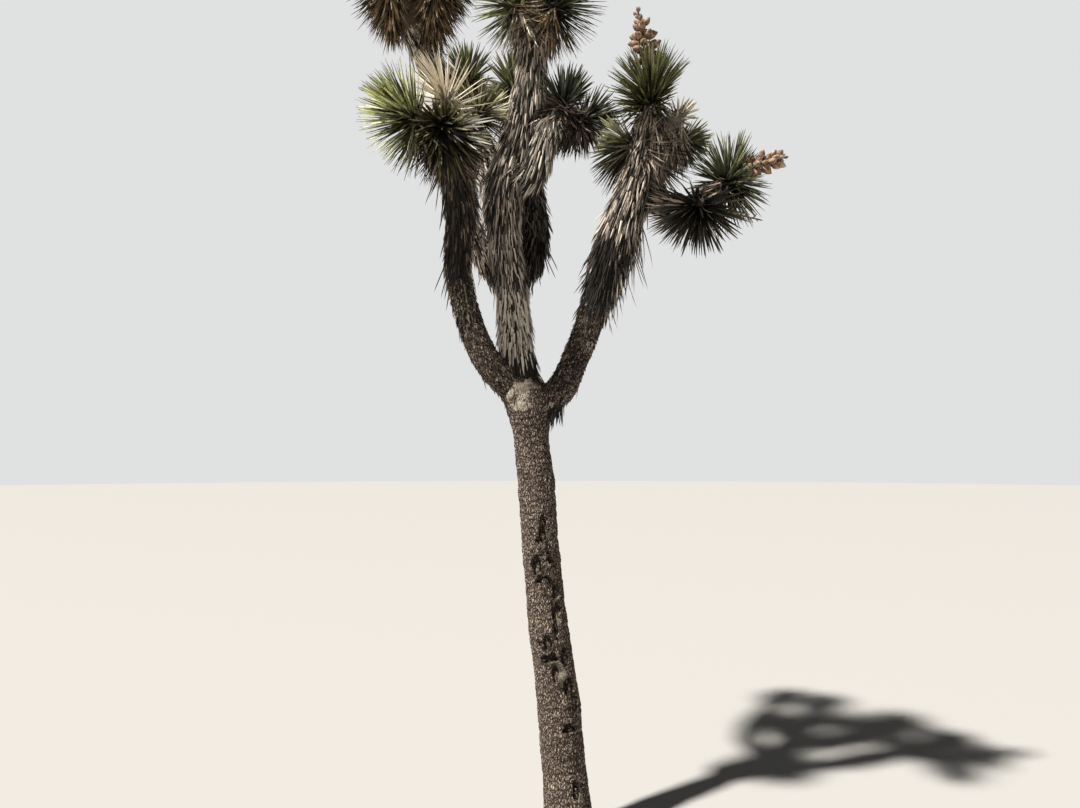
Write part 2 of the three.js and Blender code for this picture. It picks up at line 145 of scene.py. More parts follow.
LIMBS = [
    Limb("trunk", "trunk"),
    Limb("left_bough_lower", "left", ends="leftBend"),
    # Painted shade: the whole bough a step darker and its front two steps, as in the shade of the heads
    # above
    Limb("left_bough_upper", "left", starts="leftBend", tone="umber", lie=0.6, stray=0.04,
         sprays=((-0.1, 1.1, 0, 180, -1), (-0.1, 1.1, -5, 58, -2))),
    # Painted shadow at the foot where the left bough casts shade, and painted light three steps paler on the
    # sunlit middle
    Limb("centre_bough_lower", "centre", ends="centreBend", tone="straw", lie=0.9,
         sprays=((-0.1, 0.31, -5, 85, PAINTED_SHADOW), (0.31, 0.66, -20, 80, 3), (0.7, 0.95, 0, 180, -1))),
    Limb("centre_bough_upper", "centre", starts="centreBend", tone="grey",
         sprays=((-0.1, 0.5, 0, 180, -1),)),
    Limb("upper_left_bough", "upper_left", tone="straw"),
    Limb("rear_left_bough", "rear_left", tone="umber", lie=0.8),
    Limb("rear_bough", "rear", tone="shadow"),
    Limb("inner_right_bough", "inner_right", tone="straw", sprays=((-0.1, 1.1, 0, 180, -1),)),
    Limb("right_bough_lower", "right", ends="rightBend", fringe=(60, 0.14, 0.23, 62)),
    # Painted shade on the lower stretch, painted shadow where the heads on the left cast shade, and painted
    # light a step paler along that shadow's top edge
    Limb("right_bough_upper", "right", starts="rightBend", tone="grey", fringe=(110, 0.0, 0.5, 75),
         sprays=((-0.1, 0.44, 0, 120, -2), (-0.1, 0.3, -28, 74, PAINTED_SHADOW), (0.3, 0.44, -22, 50, PAINTED_SHADOW),
                 (0.43, 0.475, -25, 34, 1), (0.44, 0.95, 10, 90, -1))),
    Limb("right_side_bough", "right_side", tone="umber"),
]


@dataclass
class Head:
    """A head of leaves: the joint at its stem's foot, its growing tip, its stem's radius and leafy length,
    its leaves' length, how many living and dead ones, and their tones."""

    name: str
    foot: str
    tip: tuple
    core: float
    leafy: float
    leaf: float
    living: int
    dead: int
    tone: str
    dead_tone: str
    spread: float = 102  # widest lean of a living leaf, in degrees
    below: float = 0.55  # share of the leafy length that living leaves reach down to
    skirt: float = 1.15  # and dead ones
    droop: float = 0.06  # how far their weight bends living leaves down
    weight: float = 0.55  # and dead ones
    fan: tuple = (0, 0, 0)  # where living leaves lean over to
    sway: tuple = (0, 0, 0)  # and dead ones
    stunted: float = 1  # length of living leaves
    crowded: float = 1  # and of those that point up
    clears: tuple = ()  # direction in which they make room for fruit
    broad: float = 1  # width of living leaves
    coarse: float = 1  # and of dead ones
    shaded_below: float = 0.3  # how far the tone goes by height, not chance
    faces_sun: bool = False

    @property
    def slot(self):
        return "bleached_leaves" if self.tone == "bleached" else "leaves"


HEADS = [
    Head("left_front_head", "leftTop", (-695, -420, 3082), 48, 230, 236, 380, 190, "bright", "umber"),
    Head("left_head", "leftTop", (-539, -425, 3038), 48, 170, 235, 320, 220, "olive", "umber",
         crowded=0.4, droop=0.35),
    Head("bleached_head", "leftTop", (-535, -335, 3220), 42, 180, 215, 104, 110, "bleached", "pale",
         spread=98, broad=0.8, fan=(-0.42, -0.1, 0.0), faces_sun=True),
    Head("left_inner_head", "upperLeftFork", (-399, -10, 3262), 32, 110, 190, 130, 60, "cream", "grey"),
    Head("upper_left_head", "upperLeftTop", (-880, 0, 4020), 66, 350, 245, 230, 360, "deep", "brown",
         weight=1.0, skirt=0.68, coarse=1.25, sway=(-0.35, 0, 0)),
    Head("upper_inner_head", "upperLeftTop", (-560, 20, 4070), 64, 350, 245, 230, 620, "deep", "brown",
         weight=1.0, skirt=1.1, coarse=1.25, sway=(0.45, 0, 0)),
    Head("rear_left_head", "rearLeftTop", (-532, 645, 3760), 44, 210, 215, 210, 200, "moss", "brown"),
    Head("rear_head", "rearTop", (-272, 560, 3680), 44, 210, 215, 210, 200, "moss", "brown"),
    Head("top_head", "centreTop", (-140, 30, 4000), 54, 280, 245, 240, 220, "deep", "brown", skirt=0.5),
    Head("top_right_head", "centreTop", (-25, -50, 3785), 44, 190, 245, 230, 220, "sage", "brown",
         skirt=0.75),
    Head("top_left_head", "centreTop", (-268, -25, 3815), 44, 190, 240, 230, 220, "bright", "pale",
         skirt=0.75),
    Head("inner_right_head", "innerRightTop", (-3, 70, 3346), 42, 140, 195, 210, 260, "blue", "umber"),
    Head("inner_right_side_head", "innerRightTop", (111, 90, 3268), 38, 140, 190, 210, 260, "blue", "umber"),
    Head("right_top_head", "rightTop", (368, -110, 3337), 50, 240, 238, 600, 120, "deep", "grey",
         spread=132, below=0.95),
    Head("right_rear_head", "rightSpur", (274, -10, 3115), 42, 170, 275, 250, 120, "cream", "umber",
         droop=0.7, shaded_below=0.75, fan=(-0.2, -0.5, 0.0)),
    Head("right_stub", "rightSpur", (531, -75, 3233), 54, 190, 215, 60, 260, "bleached", "pale",
         spread=110, stunted=0.35, weight=2.4, skirt=1.0),
    Head("right_back_head", "rightSpur", (567, 50, 3149), 38, 170, 190, 170, 100, "deep", "grey",
         stunted=0.75, droop=0.3),
    Head("side_low_head", "sideSpur", (540, -330, 2712), 40, 150, 230, 135, 40, "shade", "umber",
         droop=0.6, crowded=0.25, sway=(-0.9, 0, -0.1)),
    Head("side_head", "sideTop", (738, -165, 2915), 42, 180, 215, 320, 130, "sage", "umber",
         clears=(0.8, -0.45, 0.35)),
]

# Each cluster of fruit: its head, its stalk's direction, length and bare length, how many pods, the share of
# the stalk whose pods are full-grown, and their size
CLUSTERS = {
    "top_fruit_cluster": ("right_top_head", (-0.17, -0.02, 1), 345, 140, 30, 0.66, 1),
    "side_fruit_cluster": ("side_head", (0.88, 0.1, 0.3), 222, 20, 60, 0.9, 0.74),
}
# The old flower stalk, from sideSpur: its end, its radii, how many twigs, and their length
STALK_END = (806, -262, 2668)
STALK_RADII = (0.007, 0.0028)
STALK_TWIGS, STALK_TWIG = 14, 0.046

# Marks on the trunk, each by its height and its turn from the front, in metres and degrees, with its half
# height and half width. Weathered hollows also have a depth.
HOLLOWS = [
    (1.379, 14, 0.022, 0.015, 0.013),
    (1.334, 12, 0.030, 0.018, 0.019),
    (1.300, -2, 0.018, 0.016, 0.015),
    (1.262, 24, 0.026, 0.013, 0.013),
    (1.189, -18, 0.040, 0.019, 0.022),
    (1.205, 34, 0.030, 0.015, 0.015),
    (1.128, 0, 0.015, 0.032, 0.018),
    (1.076, 38, 0.036, 0.016, 0.017),
    (1.000, 40, 0.022, 0.016, 0.015),
    (0.955, 22, 0.085, 0.010, 0.013),
    (0.858, -10, 0.034, 0.019, 0.018),
    (0.862, -30, 0.020, 0.011, 0.012),
    (0.796, -7, 0.018, 0.036, 0.022),
    (0.730, 2, 0.036, 0.013, 0.018),
    (0.800, 38, 0.040, 0.017, 0.016),
    (0.672, 38, 0.032, 0.022, 0.020),
    (0.600, 48, 0.040, 0.016, 0.016),
    (0.493, 24, 0.015, 0.028, 0.020),
    (0.240, 26, 0.046, 0.014, 0.018),
]
BARE_WOOD = [
    (1.318, 30, 0.020, 0.014),
    (1.150, 30, 0.030, 0.012),
    (0.997, 31, 0.078, 0.021),
    (0.925, 20, 0.022, 0.016),
    (0.738, 18, 0.064, 0.036),
    (0.205, 36, 0.030, 0.022),
]
# Pale scars where the boughs part: the place, and the half width, half depth and half height
SCARS = [
    ((-215, -95, 1950), (60, 60, 40)),
    ((-236, -90, 1915), (32, 60, 44)),
    ((-200, -90, 1890), (26, 50, 24)),
    ((-88, -70, 1885), (20, 40, 42)),
    ((94, -110, 2147), (26, 50, 34)),
]
# Lumps of scar wood in the fork: the place, the half sizes and how pale it is
SCAR_LUMPS = [
    ((-207, -52, 1972), (60, 50, 46), 1.0),
    ((-243, -48, 1940), (38, 48, 42), 0.8),
    ((-150, -58, 1972), (24, 26, 22), 0.25),
]


def seeded(name):
    """A stream of random numbers of its own for each piece."""
    return np.random.default_rng(zlib.crc32(name.encode()))


def stack(*columns):
    return np.stack(columns, axis=-1)


def unit(vectors):
    return vectors / np.maximum(np.linalg.norm(vectors, axis=-1, keepdims=True), 1e-9)


def dot(a, b):
    return np.sum(a * b, axis=-1, keepdims=True)


def square_to(vectors, ways):
    """The unit vectors square to the ways, on the vectors' side."""
    return unit(vectors - ways * dot(vectors, ways))


def mix(a, b, share):
    return a + (b - a) * share


def smoothstep(x, low, high):
    t = np.clip((x - low) / (high - low), 0, 1)
    return t * t * (3 - 2 * t)


def turned_by_golden_angle(count):
    return np.arange(count) * GOLDEN_ANGLE


def grid_round(rows, sides, start=0.0, end=1.0):
    """Shares along and round a limb at each corner of an even grid."""
    return np.meshgrid(np.linspace(start, end, rows + 1), np.arange(sides) / sides, indexing="ij")


def curve_through(points, per_span):
    """Places along the centripetal Catmull-Rom curve through the points."""
    points = np.asarray(points, float)
    padded = np.vstack([2 * points[0] - points[1], points, 2 * points[-1] - points[-2]])
    t = np.linspace(0, 1, per_span, endpoint=False)[:, None]
    spans = []
    for i in range(len(points) - 1):
        p0, p1, p2, p3 = padded[i:i + 4]
        d0, d1, d2 = (math.sqrt(np.linalg.norm(b - a)) for a, b in ((p0, p1), (p1, p2), (p2, p3)))
        leave = ((p1 - p0) / d0 - (p2 - p0) / (d0 + d1) + (p2 - p1) / d1) * d1
        arrive = ((p2 - p1) / d1 - (p3 - p1) / (d1 + d2) + (p3 - p2) / d2) * d1
        bend = 3 * (p2 - p1) - 2 * leave - arrive
        close = 2 * (p1 - p2) + leave + arrive
        spans.append(p1 + leave * t + bend * t ** 2 + close * t ** 3)
    return np.vstack(spans + [points[-1:]])


class Course:
    """The line that a limb follows: places, directions and radii by share of its length, and turns round it
    from the front."""

    def __init__(self, places, girth, per_span):
        self.places = places
        steps = np.linalg.norm(np.diff(places, axis=0), axis=1)
        marks = np.concatenate([[0], np.cumsum(steps)])
        self.length = marks[-1]
        self.shares = marks / self.length
        self.girth = np.asarray(girth, float)
        self.girth_shares = self.shares[::per_span]
        self.around = FULL_TURN * float(np.mean(self.girth))
        self.tangents = unit(np.gradient(places, marks, axis=0))
        front = np.array([0.0, -1.0, 0.0])
        fronts = []
        for tangent in self.tangents:
            front = square_to(front, tangent)
            fronts.append(front)
        self.fronts = np.array(fronts)

    def _between(self, table, share):
        share = np.asarray(share, float)
        return stack(*(np.interp(share, self.shares, table[:, k]) for k in range(3)))

    def place(self, share):
        return self._between(self.places, share)

    def tangent(self, share):
        return unit(self._between(self.tangents, share))

    def outward(self, share, turn):
        """The direction square to the course at a turn from the front."""
        tangent = self.tangent(share)
        front = square_to(self._between(self.fronts, share), tangent)
        turn = np.asarray(turn, float)[..., None]
        return front * np.cos(turn) + np.cross(tangent, front) * np.sin(turn)

    def radius(self, share):
        share = np.clip(share, 0, 1)
        i = np.clip(np.searchsorted(self.girth_shares, share, side="left") - 1, 0, len(self.girth) - 2)
        t = smoothstep(share, self.girth_shares[i], self.girth_shares[i + 1])
        return mix(self.girth[i], self.girth[i + 1], t)

    def surface(self, share, turn, radius):
        """The places at a radius from the course."""
        return self.place(share) + self.outward(share, turn) * radius[..., None]


def course_of(limb, per_span=24):
    line = LINES[limb.line]
    names = list(line)
    first, last = names.index(limb.starts or names[0]), names.index(limb.ends or names[-1])
    whole = curve_through([JOINTS[name] for name in names], per_span) * MM
    girth = np.array(list(line.values())[first:last + 1]) * MM
    return Course(whole[first * per_span:last * per_span + 1], girth, per_span)


COURSES = {limb.name: course_of(limb) for limb in LIMBS}


def soft_noise(across, along, columns, pitch, rng):
    """Smooth random values from 0 to 1 that go on round a limb: across is a share of the way round."""
    rows = int(np.max(along) / pitch) + 3
    table = rng.random((rows, columns))
    u, v = across * columns, along / pitch
    iu, iv = np.floor(u).astype(int), np.floor(v).astype(int)
    fu, fv = smoothstep(u - iu, 0, 1), smoothstep(v - iv, 0, 1)
    iu, next_u = iu % columns, (iu + 1) % columns
    iv = np.clip(iv, 0, rows - 2)
    low = mix(table[iv, iu], table[iv, next_u], fu)
    high = mix(table[iv + 1, iu], table[iv + 1, next_u], fu)
    return mix(low, high, fv)


def knobs(across, along, columns, width, height, rng):
    """Corky knobs round a limb: how far each place is inside its knob, 0 in the cracks, and its chance."""
    rows = int(np.max(along) / height) + 4
    jitter = 0.8 * (rng.random((rows, columns, 2)) - 0.5)
    chance = rng.random((rows, columns))
    u, v = across * columns, along / height + 1
    iu, iv = np.floor(u).astype(int), np.floor(v).astype(int)
    nearest = second = np.full(u.shape, 9.0)
    owner = np.zeros(u.shape)
    for dv in (-1, 0, 1):
        for du in (-1, 0, 1):
            row, column = np.clip(iv + dv, 0, rows - 1), (iu + du) % columns
            centre_u = iu + du + 0.5 + jitter[row, column, 0] + 0.5 * ((iv + dv) % 2)
            centre_v = iv + dv + 0.5 + jitter[row, column, 1]
            distance = np.hypot(u - centre_u, (v - centre_v) * height / width * 0.45)
            closer = distance < nearest
            second = np.where(closer, nearest, np.minimum(second, distance))
            owner = np.where(closer, chance[row, column], owner)
            nearest = np.where(closer, distance, nearest)
    return np.clip((second - nearest) / 0.55, 0, 1), owner


def degrees_aside(across, turn):
    """How far places lie from a turn, in degrees round the limb either way."""
    return np.abs((across - turn / 360 + 0.5) % 1 - 0.5) * 360


def marks_at(across, along, marks, course, heights):
    """How far each place is inside a mark, from 0 outside to 1 at its middle, and how deep it is there."""
    inside, depth = np.zeros(across.shape), np.zeros(across.shape)
    girth = FULL_TURN * course.radius(along / course.length)
    for height, turn, half_height, half_width, *deep in marks:
        middle = np.interp(height, heights, course.shares) * course.length
        up = (along - middle) / half_height
        aside = ((across - turn / 360 + 0.5) % 1 - 0.5) * girth / half_width
        here = np.clip(1 - up ** 2 - aside ** 2, 0, 1)
        inside = np.maximum(inside, here)
        if deep:
            lump = 1 - (up + 0.4) ** 2 * 1.6 - (aside - 0.2) ** 2 * 2.2
            crescent = smoothstep(here, 0, 0.35) - 0.75 * smoothstep(lump, 0.1, 0.8)
            depth = np.maximum(depth, deep[0] * crescent)
    return inside, depth


def scars_at(places, noise):
    """How far each place is inside a pale scar."""
    inside = [1 - np.sum(((places / MM - middle) / half) ** 2, axis=-1) for middle, half in SCARS]
    return smoothstep(np.max(inside, axis=0) + 1.3 * (noise - 0.5), 0.1, 0.4)


# Rings of a blade from its root: share of its length, of its width and of its thickness
LIVING_RINGS = [(0, 0.85, 1), (0.22, 1, 1), (0.66, 0.84, 0.75), (0.94, 0.26, 0.3)]
DEAD_RINGS = [(0, 0.8, 1), (0.3, 1, 1), (0.72, 0.62, 0.7)]
THATCH_RINGS = [(0, 0.8, 0.8), (0.36, 1, 1), (0.8, 0.75, 0.8)]
SHORT_RINGS = [(0, 0.8, 0.8), (0.5, 1, 1)]


class Part:
    """Gathers the places and faces of one joined mesh."""

    def __init__(self):
        self.places, self.faces, self.slots, self.count = [], [], [], 0

    def add(self, places, groups):
        """Adds places, and groups of faces that number them from 0, each with its material slots."""
        for faces, slots in groups:
            self.faces.append(np.asarray(faces) + self.count)
            self.slots.append(np.broadcast_to(slots, len(faces)))
        self.places.append(places)
        self.count += len(places)

    def add_tube(self, places):
        """Adds a closed tube through rings of places, given as (rings, sides, 3)."""
        rings, sides = places.shape[:2]
        corner = np.arange(rings * sides).reshape(rings, sides)
        onward = np.roll(corner, -1, axis=1)
        walls = stack(corner[:-1], onward[:-1], onward[1:], corner[1:]).reshape(-1, 4)
        foot, top = np.full(sides, rings * sides), np.full(sides, rings * sides + 1)
        caps = np.vstack([stack(foot, onward[0], corner[0]), stack(top, corner[-1], onward[-1])])
        centres = [places[0].mean(axis=0), places[-1].mean(axis=0)]
        self.add(np.vstack([places.reshape(-1, 3), centres]), [(walls, 0), (caps, 0)])

    def add_twig(self, start, end, start_radius, end_radius, sides, rows):
        """Adds a straight tapering twig."""
        way = unit(end - start)
        share = np.linspace(0, 1, rows + 1)[:, None, None]
        radial = radial_round(way, FULL_TURN * np.arange(sides) / sides)
        self.add_tube(mix(start, end, share) + radial * mix(start_radius, end_radius, share))

    def add_blades(self, rings, roots, ways, backs, lengths, width, thickness, bends, slots):
        """Adds slender blades with a flat face and a ridge. slots gives the material of each stretch."""
        count, levels = len(roots), len(rings)
        across = np.cross(backs, ways)
        corners = np.empty((count, 3 * levels + 1, 3))
        lengths, bends, width, thickness = (
            np.broadcast_to(size, count)[:, None] for size in (lengths, bends, width, thickness))
        for level, (along, wide, thick) in enumerate(rings):
            middle = roots + ways * lengths * along + backs * lengths * bends * along ** 2
            corners[:, 3 * level] = middle - across * width * wide / 2
            corners[:, 3 * level + 1] = middle + across * width * wide / 2
            corners[:, 3 * level + 2] = middle + backs * thickness * thick
        corners[:, -1] = roots + ways * lengths + backs * lengths * bends
        starts = np.arange(count)[:, None] * corners.shape[1]
        groups = [(starts + [0, 2, 1], slots[:, 0])]
        for level in range(levels):
            for side in range(3):
                here, beside = 3 * level + side, 3 * level + (side + 1) % 3
                onward = [beside + 3, here + 3] if level < levels - 1 else [3 * levels]
                groups.append((starts + [here, beside, *onward], slots[:, level]))
        self.add(corners.reshape(-1, 3), groups)

    def make(self, name, materials, smooth=False, paint=None):
        """Makes the mesh object."""
        mesh = bpy.data.meshes.new(name)
        sizes = np.concatenate([np.full(len(faces), faces.shape[1]) for faces in self.faces])
        corners = np.concatenate([faces.ravel() for faces in self.faces])
        mesh.vertices.add(self.count)
        mesh.vertices.foreach_set("co", np.concatenate(self.places).astype(np.float32).ravel())
        mesh.loops.add(len(corners))
        mesh.loops.foreach_set("vertex_index", corners.astype(np.int32))
        mesh.polygons.add(len(sizes))
        mesh.polygons.foreach_set("loop_start", (np.cumsum(sizes) - sizes).astype(np.int32))
        for material in materials:
            mesh.materials.append(material)
        mesh.update(calc_edges=True)
        mesh.polygons.foreach_set("material_index", np.concatenate(self.slots).astype(np.int32))
        mesh.polygons.foreach_set("use_smooth", (sizes == 4) & smooth)
        if paint is not None:
            layer = mesh.attributes.new("bark", "FLOAT_COLOR", "POINT")
            layer.data.foreach_set("color", paint.astype(np.float32).ravel())
        mesh.update()
        made = bpy.data.objects.new(name, mesh)
        bpy.context.scene.collection.objects.link(made)
        return made

    def piece(self, name, node, slot, materials, smooth=False, paint=None):
        """Makes the piece, which stands for its CAD node, and hides that node; its record slot is not used.
        """
        made = self.make(name, materials, smooth, paint)
        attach(made, "root")
        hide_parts(node)


def radial_round(way, turns):
    """Directions square to a way, at turns round it."""
    across = unit(np.cross(way, [0.3, 0.5, 0.8]))
    return across * np.cos(turns)[:, None] + np.cross(way, across) * np.sin(turns)[:, None]


def plain_material(name, colour, roughness):
    material = bpy.data.materials.new(name)
    material.use_nodes = True
    shader = material.node_tree.nodes["Principled BSDF"]
    shader.inputs["Base Color"].default_value = (*colour, 1)
    shader.inputs["Roughness"].default_value = roughness
    return material


# The tones of one colour from dark to pale: how light each is, and its share of straw. Most are dealt out by
# chance, but the darkest also serves as painted shade at leaf roots and in shaded patches, and the paler
# ones as painted light in sunlit patches
TONE_STEPS = [(0.08, 0.0), (0.34, 0.0), (0.82, 0.0), (1.45, 0.06), (2.1, 0.16)]
STRAW = np.array([0.62, 0.56, 0.47])
PALEST = 0.86


def tones(name, colour, roughness):
    """Five plain materials from dark to pale round one colour, which are dealt out by spray."""
    made = []
    for step, (light, straw) in enumerate(TONE_STEPS):
        material_name = f"{name}_{step}"
        if material_name not in bpy.data.materials:
            shade = mix(np.array(colour) * light, STRAW, straw)
            plain_material(material_name, tuple(shade * min(1, PALEST / shade.max())), roughness)
        made.append(bpy.data.materials[material_name])
    return made


class Value:
    """A shader value that Python's operators work on. Each adds the Math node that does it."""

    def __init__(self, shader, socket):
        self.shader, self.socket = shader, socket

    def _math(self, operation, first, second):
        made = self.shader.node("ShaderNodeMath", {"operation": operation}, {0: first, 1: second})
        return Value(self.shader, made.outputs[0])

    def __add__(self, other):
        return self._math("ADD", self, other)

    def __sub__(self, other):
        return self._math("SUBTRACT", self, other)

    def __mul__(self, other):
        return self._math("MULTIPLY", self, other)

    def __pow__(self, other):
        return self._math("POWER", self, other)


class Shader:
    """A material and its nodes."""

    def __init__(self, name):
        self.material = bpy.data.materials.new(name)
        self.material.use_nodes = True
        self.nodes = self.material.node_tree.nodes
        self.links = self.material.node_tree.links
        self.place = self.node("ShaderNodeTexCoord", {}, {}).outputs["Object"]

    def node(self, kind, settings, sockets):
        """Adds a node. Its settings come first, then each socket's value or link."""
        made = self.nodes.new(kind)
        for name, value in settings.items():
            setattr(made, name, value)
        for name, value in sockets.items():
            self.set(made.inputs[name], value)
        return made

    def set(self, socket, value):
        if isinstance(value, Value):
            value = value.socket
        if isinstance(value, bpy.types.NodeSocket):
            self.links.new(value, socket)
        else:
            socket.default_value = value

    def mix(self, factor, first, second):
        """Mixes two colours, each a socket or three numbers."""
        first, second = (c if isinstance(c, bpy.types.NodeSocket) else (*c, 1) for c in (first, second))
        return self.node("ShaderNodeMix", {"data_type": "RGBA", "clamp_factor": True},
                         {0: factor, 6: first, 7: second}).outputs[2]

    def noise(self, scale, detail=3.0):
        made = self.node("ShaderNodeTexNoise", {}, {"Vector": self.place, "Scale": scale, "Detail": detail})
        return Value(self, made.outputs[0])

    def dashes(self, size):
        """Upright dashes: how far each place is inside its dash, from 0 in the cracks, and its chance."""
        stray = self.node("ShaderNodeTexNoise", {}, {"Vector": self.place, "Scale": 45.0, "Detail": 2.0})
        bent = self.node("ShaderNodeVectorMath", {"operation": "MULTIPLY_ADD"},
                         {0: stray.outputs["Color"], 1: (0.009, 0.009, 0.02), 2: self.place})
        drawn = self.node("ShaderNodeVectorMath", {"operation": "MULTIPLY"},
                          {0: bent.outputs[0], 1: (1, 1, 0.4)})
        sockets = {"Vector": drawn.outputs[0], "Scale": 1 / size}
        edge = self.node("ShaderNodeTexVoronoi", {"feature": "DISTANCE_TO_EDGE"}, sockets)
        cell = self.node("ShaderNodeTexVoronoi", {"feature": "F1"}, sockets)
        parts = self.node("ShaderNodeSeparateColor", {}, {0: cell.outputs["Color"]})
        inside = self.node("ShaderNodeMapRange", {"interpolation_type": "SMOOTHSTEP"},
                           {0: edge.outputs["Distance"], 1: 0.0, 2: 0.23, 3: 0.0, 4: 1.0})
        return Value(self, inside.outputs[0]), Value(self, parts.outputs[0])

    def finish(self, colour, roughness, height, strength, distance):
        """Sets the surface, with a bump of a height, and gives the material."""
        surface = self.nodes["Principled BSDF"]
        self.set(surface.inputs["Base Color"], colour)
        surface.inputs["Roughness"].default_value = roughness
        sockets = {"Strength": strength, "Distance": distance, "Height": height}
        self.set(surface.inputs["Normal"], self.node("ShaderNodeBump", {}, sockets).outputs[0])
        return self.material


def darker(colour, share):
    return np.array(colour) * share


def bark_material(name, bark):
    """Corky bark: cracks in a near-black painted shade, brown knobs whose tops are paler by wear and by a
    painted highlight, grey bare wood and pale scars.
    """
    shader = Shader(name)
    paint = shader.node("ShaderNodeAttribute", {"attribute_name": "bark"}, {})
    parts = shader.node("ShaderNodeSeparateColor", {}, {0: paint.outputs["Color"]})
    knob, chance, bare = (Value(shader, parts.outputs[k]) for k in range(3))
    scar = Value(shader, paint.outputs["Alpha"])
    speckle = shader.noise(160.0)
    blotch = shader.noise(7.0, 2.0)
    dash, dash_chance = shader.dashes(bark.dash)
    raised = dash * (knob * 0.8 + 0.36)
    ridge = shader.mix(dash_chance * 1.2 - 0.1, darker(bark.knob_colour, 0.5), bark.knob_colour)
    # Painted shade: where the knobs sink into the cracks the colour goes to the near-black crack colour
    colour = shader.mix(raised * 1.7 - 0.34, bark.crack_colour_and_shade, ridge)
    # Raised knob tops and the rims of hollows turn paler: partly wear, partly a painted highlight
    worn = (raised ** 2.0) * (dash_chance * 0.9 + chance * 0.4 + speckle * 0.9 - 0.8) * (blotch + 0.35)
    colour = shader.mix(worn, colour, bark.worn_and_highlight_colour)
    colour = shader.mix(shader.noise(30.0) * 0.5 - 0.12, colour, bark.rust_colour)
    wood = shader.mix(speckle, darker(bark.wood_colour, 0.7), bark.wood_colour)
    colour = shader.mix(bare * 1.6, colour, wood)
    pale = shader.mix(speckle * 1.3 - 0.1, darker(bark.scar_colour, 0.5), bark.scar_colour)
    colour = shader.mix(scar * (speckle + 0.9), colour, pale)
    return shader.finish(colour, 0.92, speckle * 0.35 + dash, 1.0, 0.0045)


def core_material(name, colour):
    """The mat of old leaf roots under the hanging leaves, streaked darker; how dark it is comes from the
    colour it is given.
    """
    shader = Shader(name)
    streak = shader.noise(90.0)
    return shader.finish(shader.mix(streak, darker(colour, 0.35), colour), 0.95, streak, 0.7, 0.004)


def fruit_material(name, colour):
    """Ripe pods: dry brown skin with paler and darker patches."""
    shader = Shader(name)
    skin = shader.mix(shader.noise(28.0) * 2.2 - 0.6, darker(colour, 0.35), colour)
    skin = shader.mix(shader.noise(60.0) * 2.2 - 0.95, skin, (0.78, 0.66, 0.5))
    return shader.finish(skin, 0.7, shader.noise(120.0), 0.5, 0.002)


def tint(name, description, default):
    return bpy.props.FloatVectorProperty(
        name=name, description=description, default=default, subtype="COLOR", size=3, min=0, max=1)


def distance(name, description, default):
    return bpy.props.FloatProperty(
        name=name, description=description, default=default, min=0, unit="LENGTH")


class BarkSettings(bpy.types.PropertyGroup):
    """Sizes and colours of the corky bark."""

    grid: distance("Grid", "Spacing of the bark mesh", 0.0025)
    knob_width: distance("Lump width", "Width of a corky lump", 0.013)
    knob_height: distance("Lump height", "Height of a corky lump", 0.03)
    knob_depth: distance("Crack depth", "How deep the cracks between lumps are", 0.0048)
    dash: distance("Dash", "Width of the small upright knobs in the bark", 0.0068)
    waviness: distance("Waviness", "How uneven the limb is", 0.010)
    root_swelling: distance("Root swelling", "How far the trunk widens at the ground", 0.026)
    # The crack colour is near black: the cracks' own darker colour and painted shade in them
    crack_colour_and_shade: tint("Crack", "Colour in the cracks", (0.018, 0.012, 0.009))
    knob_colour: tint("Knob", "Colour of the knobs", (0.46, 0.35, 0.272))
    # Worn knob tops are paler by wear and by a painted highlight
    worn_and_highlight_colour: tint("Worn knob", "Colour of worn knob tops", (0.58, 0.48, 0.385))
    rust_colour: tint("Rust", "Reddish tinge of the bark", (0.12, 0.07, 0.045))
    wood_colour: tint("Bare wood", "Weathered wood under the bark", (0.33, 0.29, 0.22))
    scar_colour: tint("Scar", "Pale scar in the fork", (0.64, 0.56, 0.45))


class ThatchSettings(bpy.types.PropertyGroup):
    """Sizes and colours of the dead leaves that hang on the boughs."""

    length: distance("Length", "Length of a hanging leaf", 0.105)
    width: distance("Width", "Width of a hanging leaf", 0.0074)
    thickness: distance("Ridge", "Height of a hanging leaf's ridge", 0.0040)
    spacing: distance("Spacing", "Distance from leaf to leaf, round and along", 0.0158)
    grey: tint("Grey", "Weathered leaves", (0.41, 0.35, 0.285))
    straw: tint("Straw", "Sunny leaves", (0.50, 0.445, 0.375))
    umber: tint("Umber", "Shaded brown leaves", (0.16, 0.12, 0.088))
    pale: tint("Pale", "Leaves bleached by the sun", (0.66, 0.58, 0.46))
    brown: tint("Brown", "Freshly dead leaves", (0.36, 0.25, 0.145))
    shadow: tint("Shadow", "Darkest leaves", (0.085, 0.07, 0.055))
    # Painted shadow: near black, for the patches of thatch where other limbs and heads cast shade
    painted_shadow: tint("Soot", "Leaves darkened by soot and rot", (0.022, 0.017, 0.014))


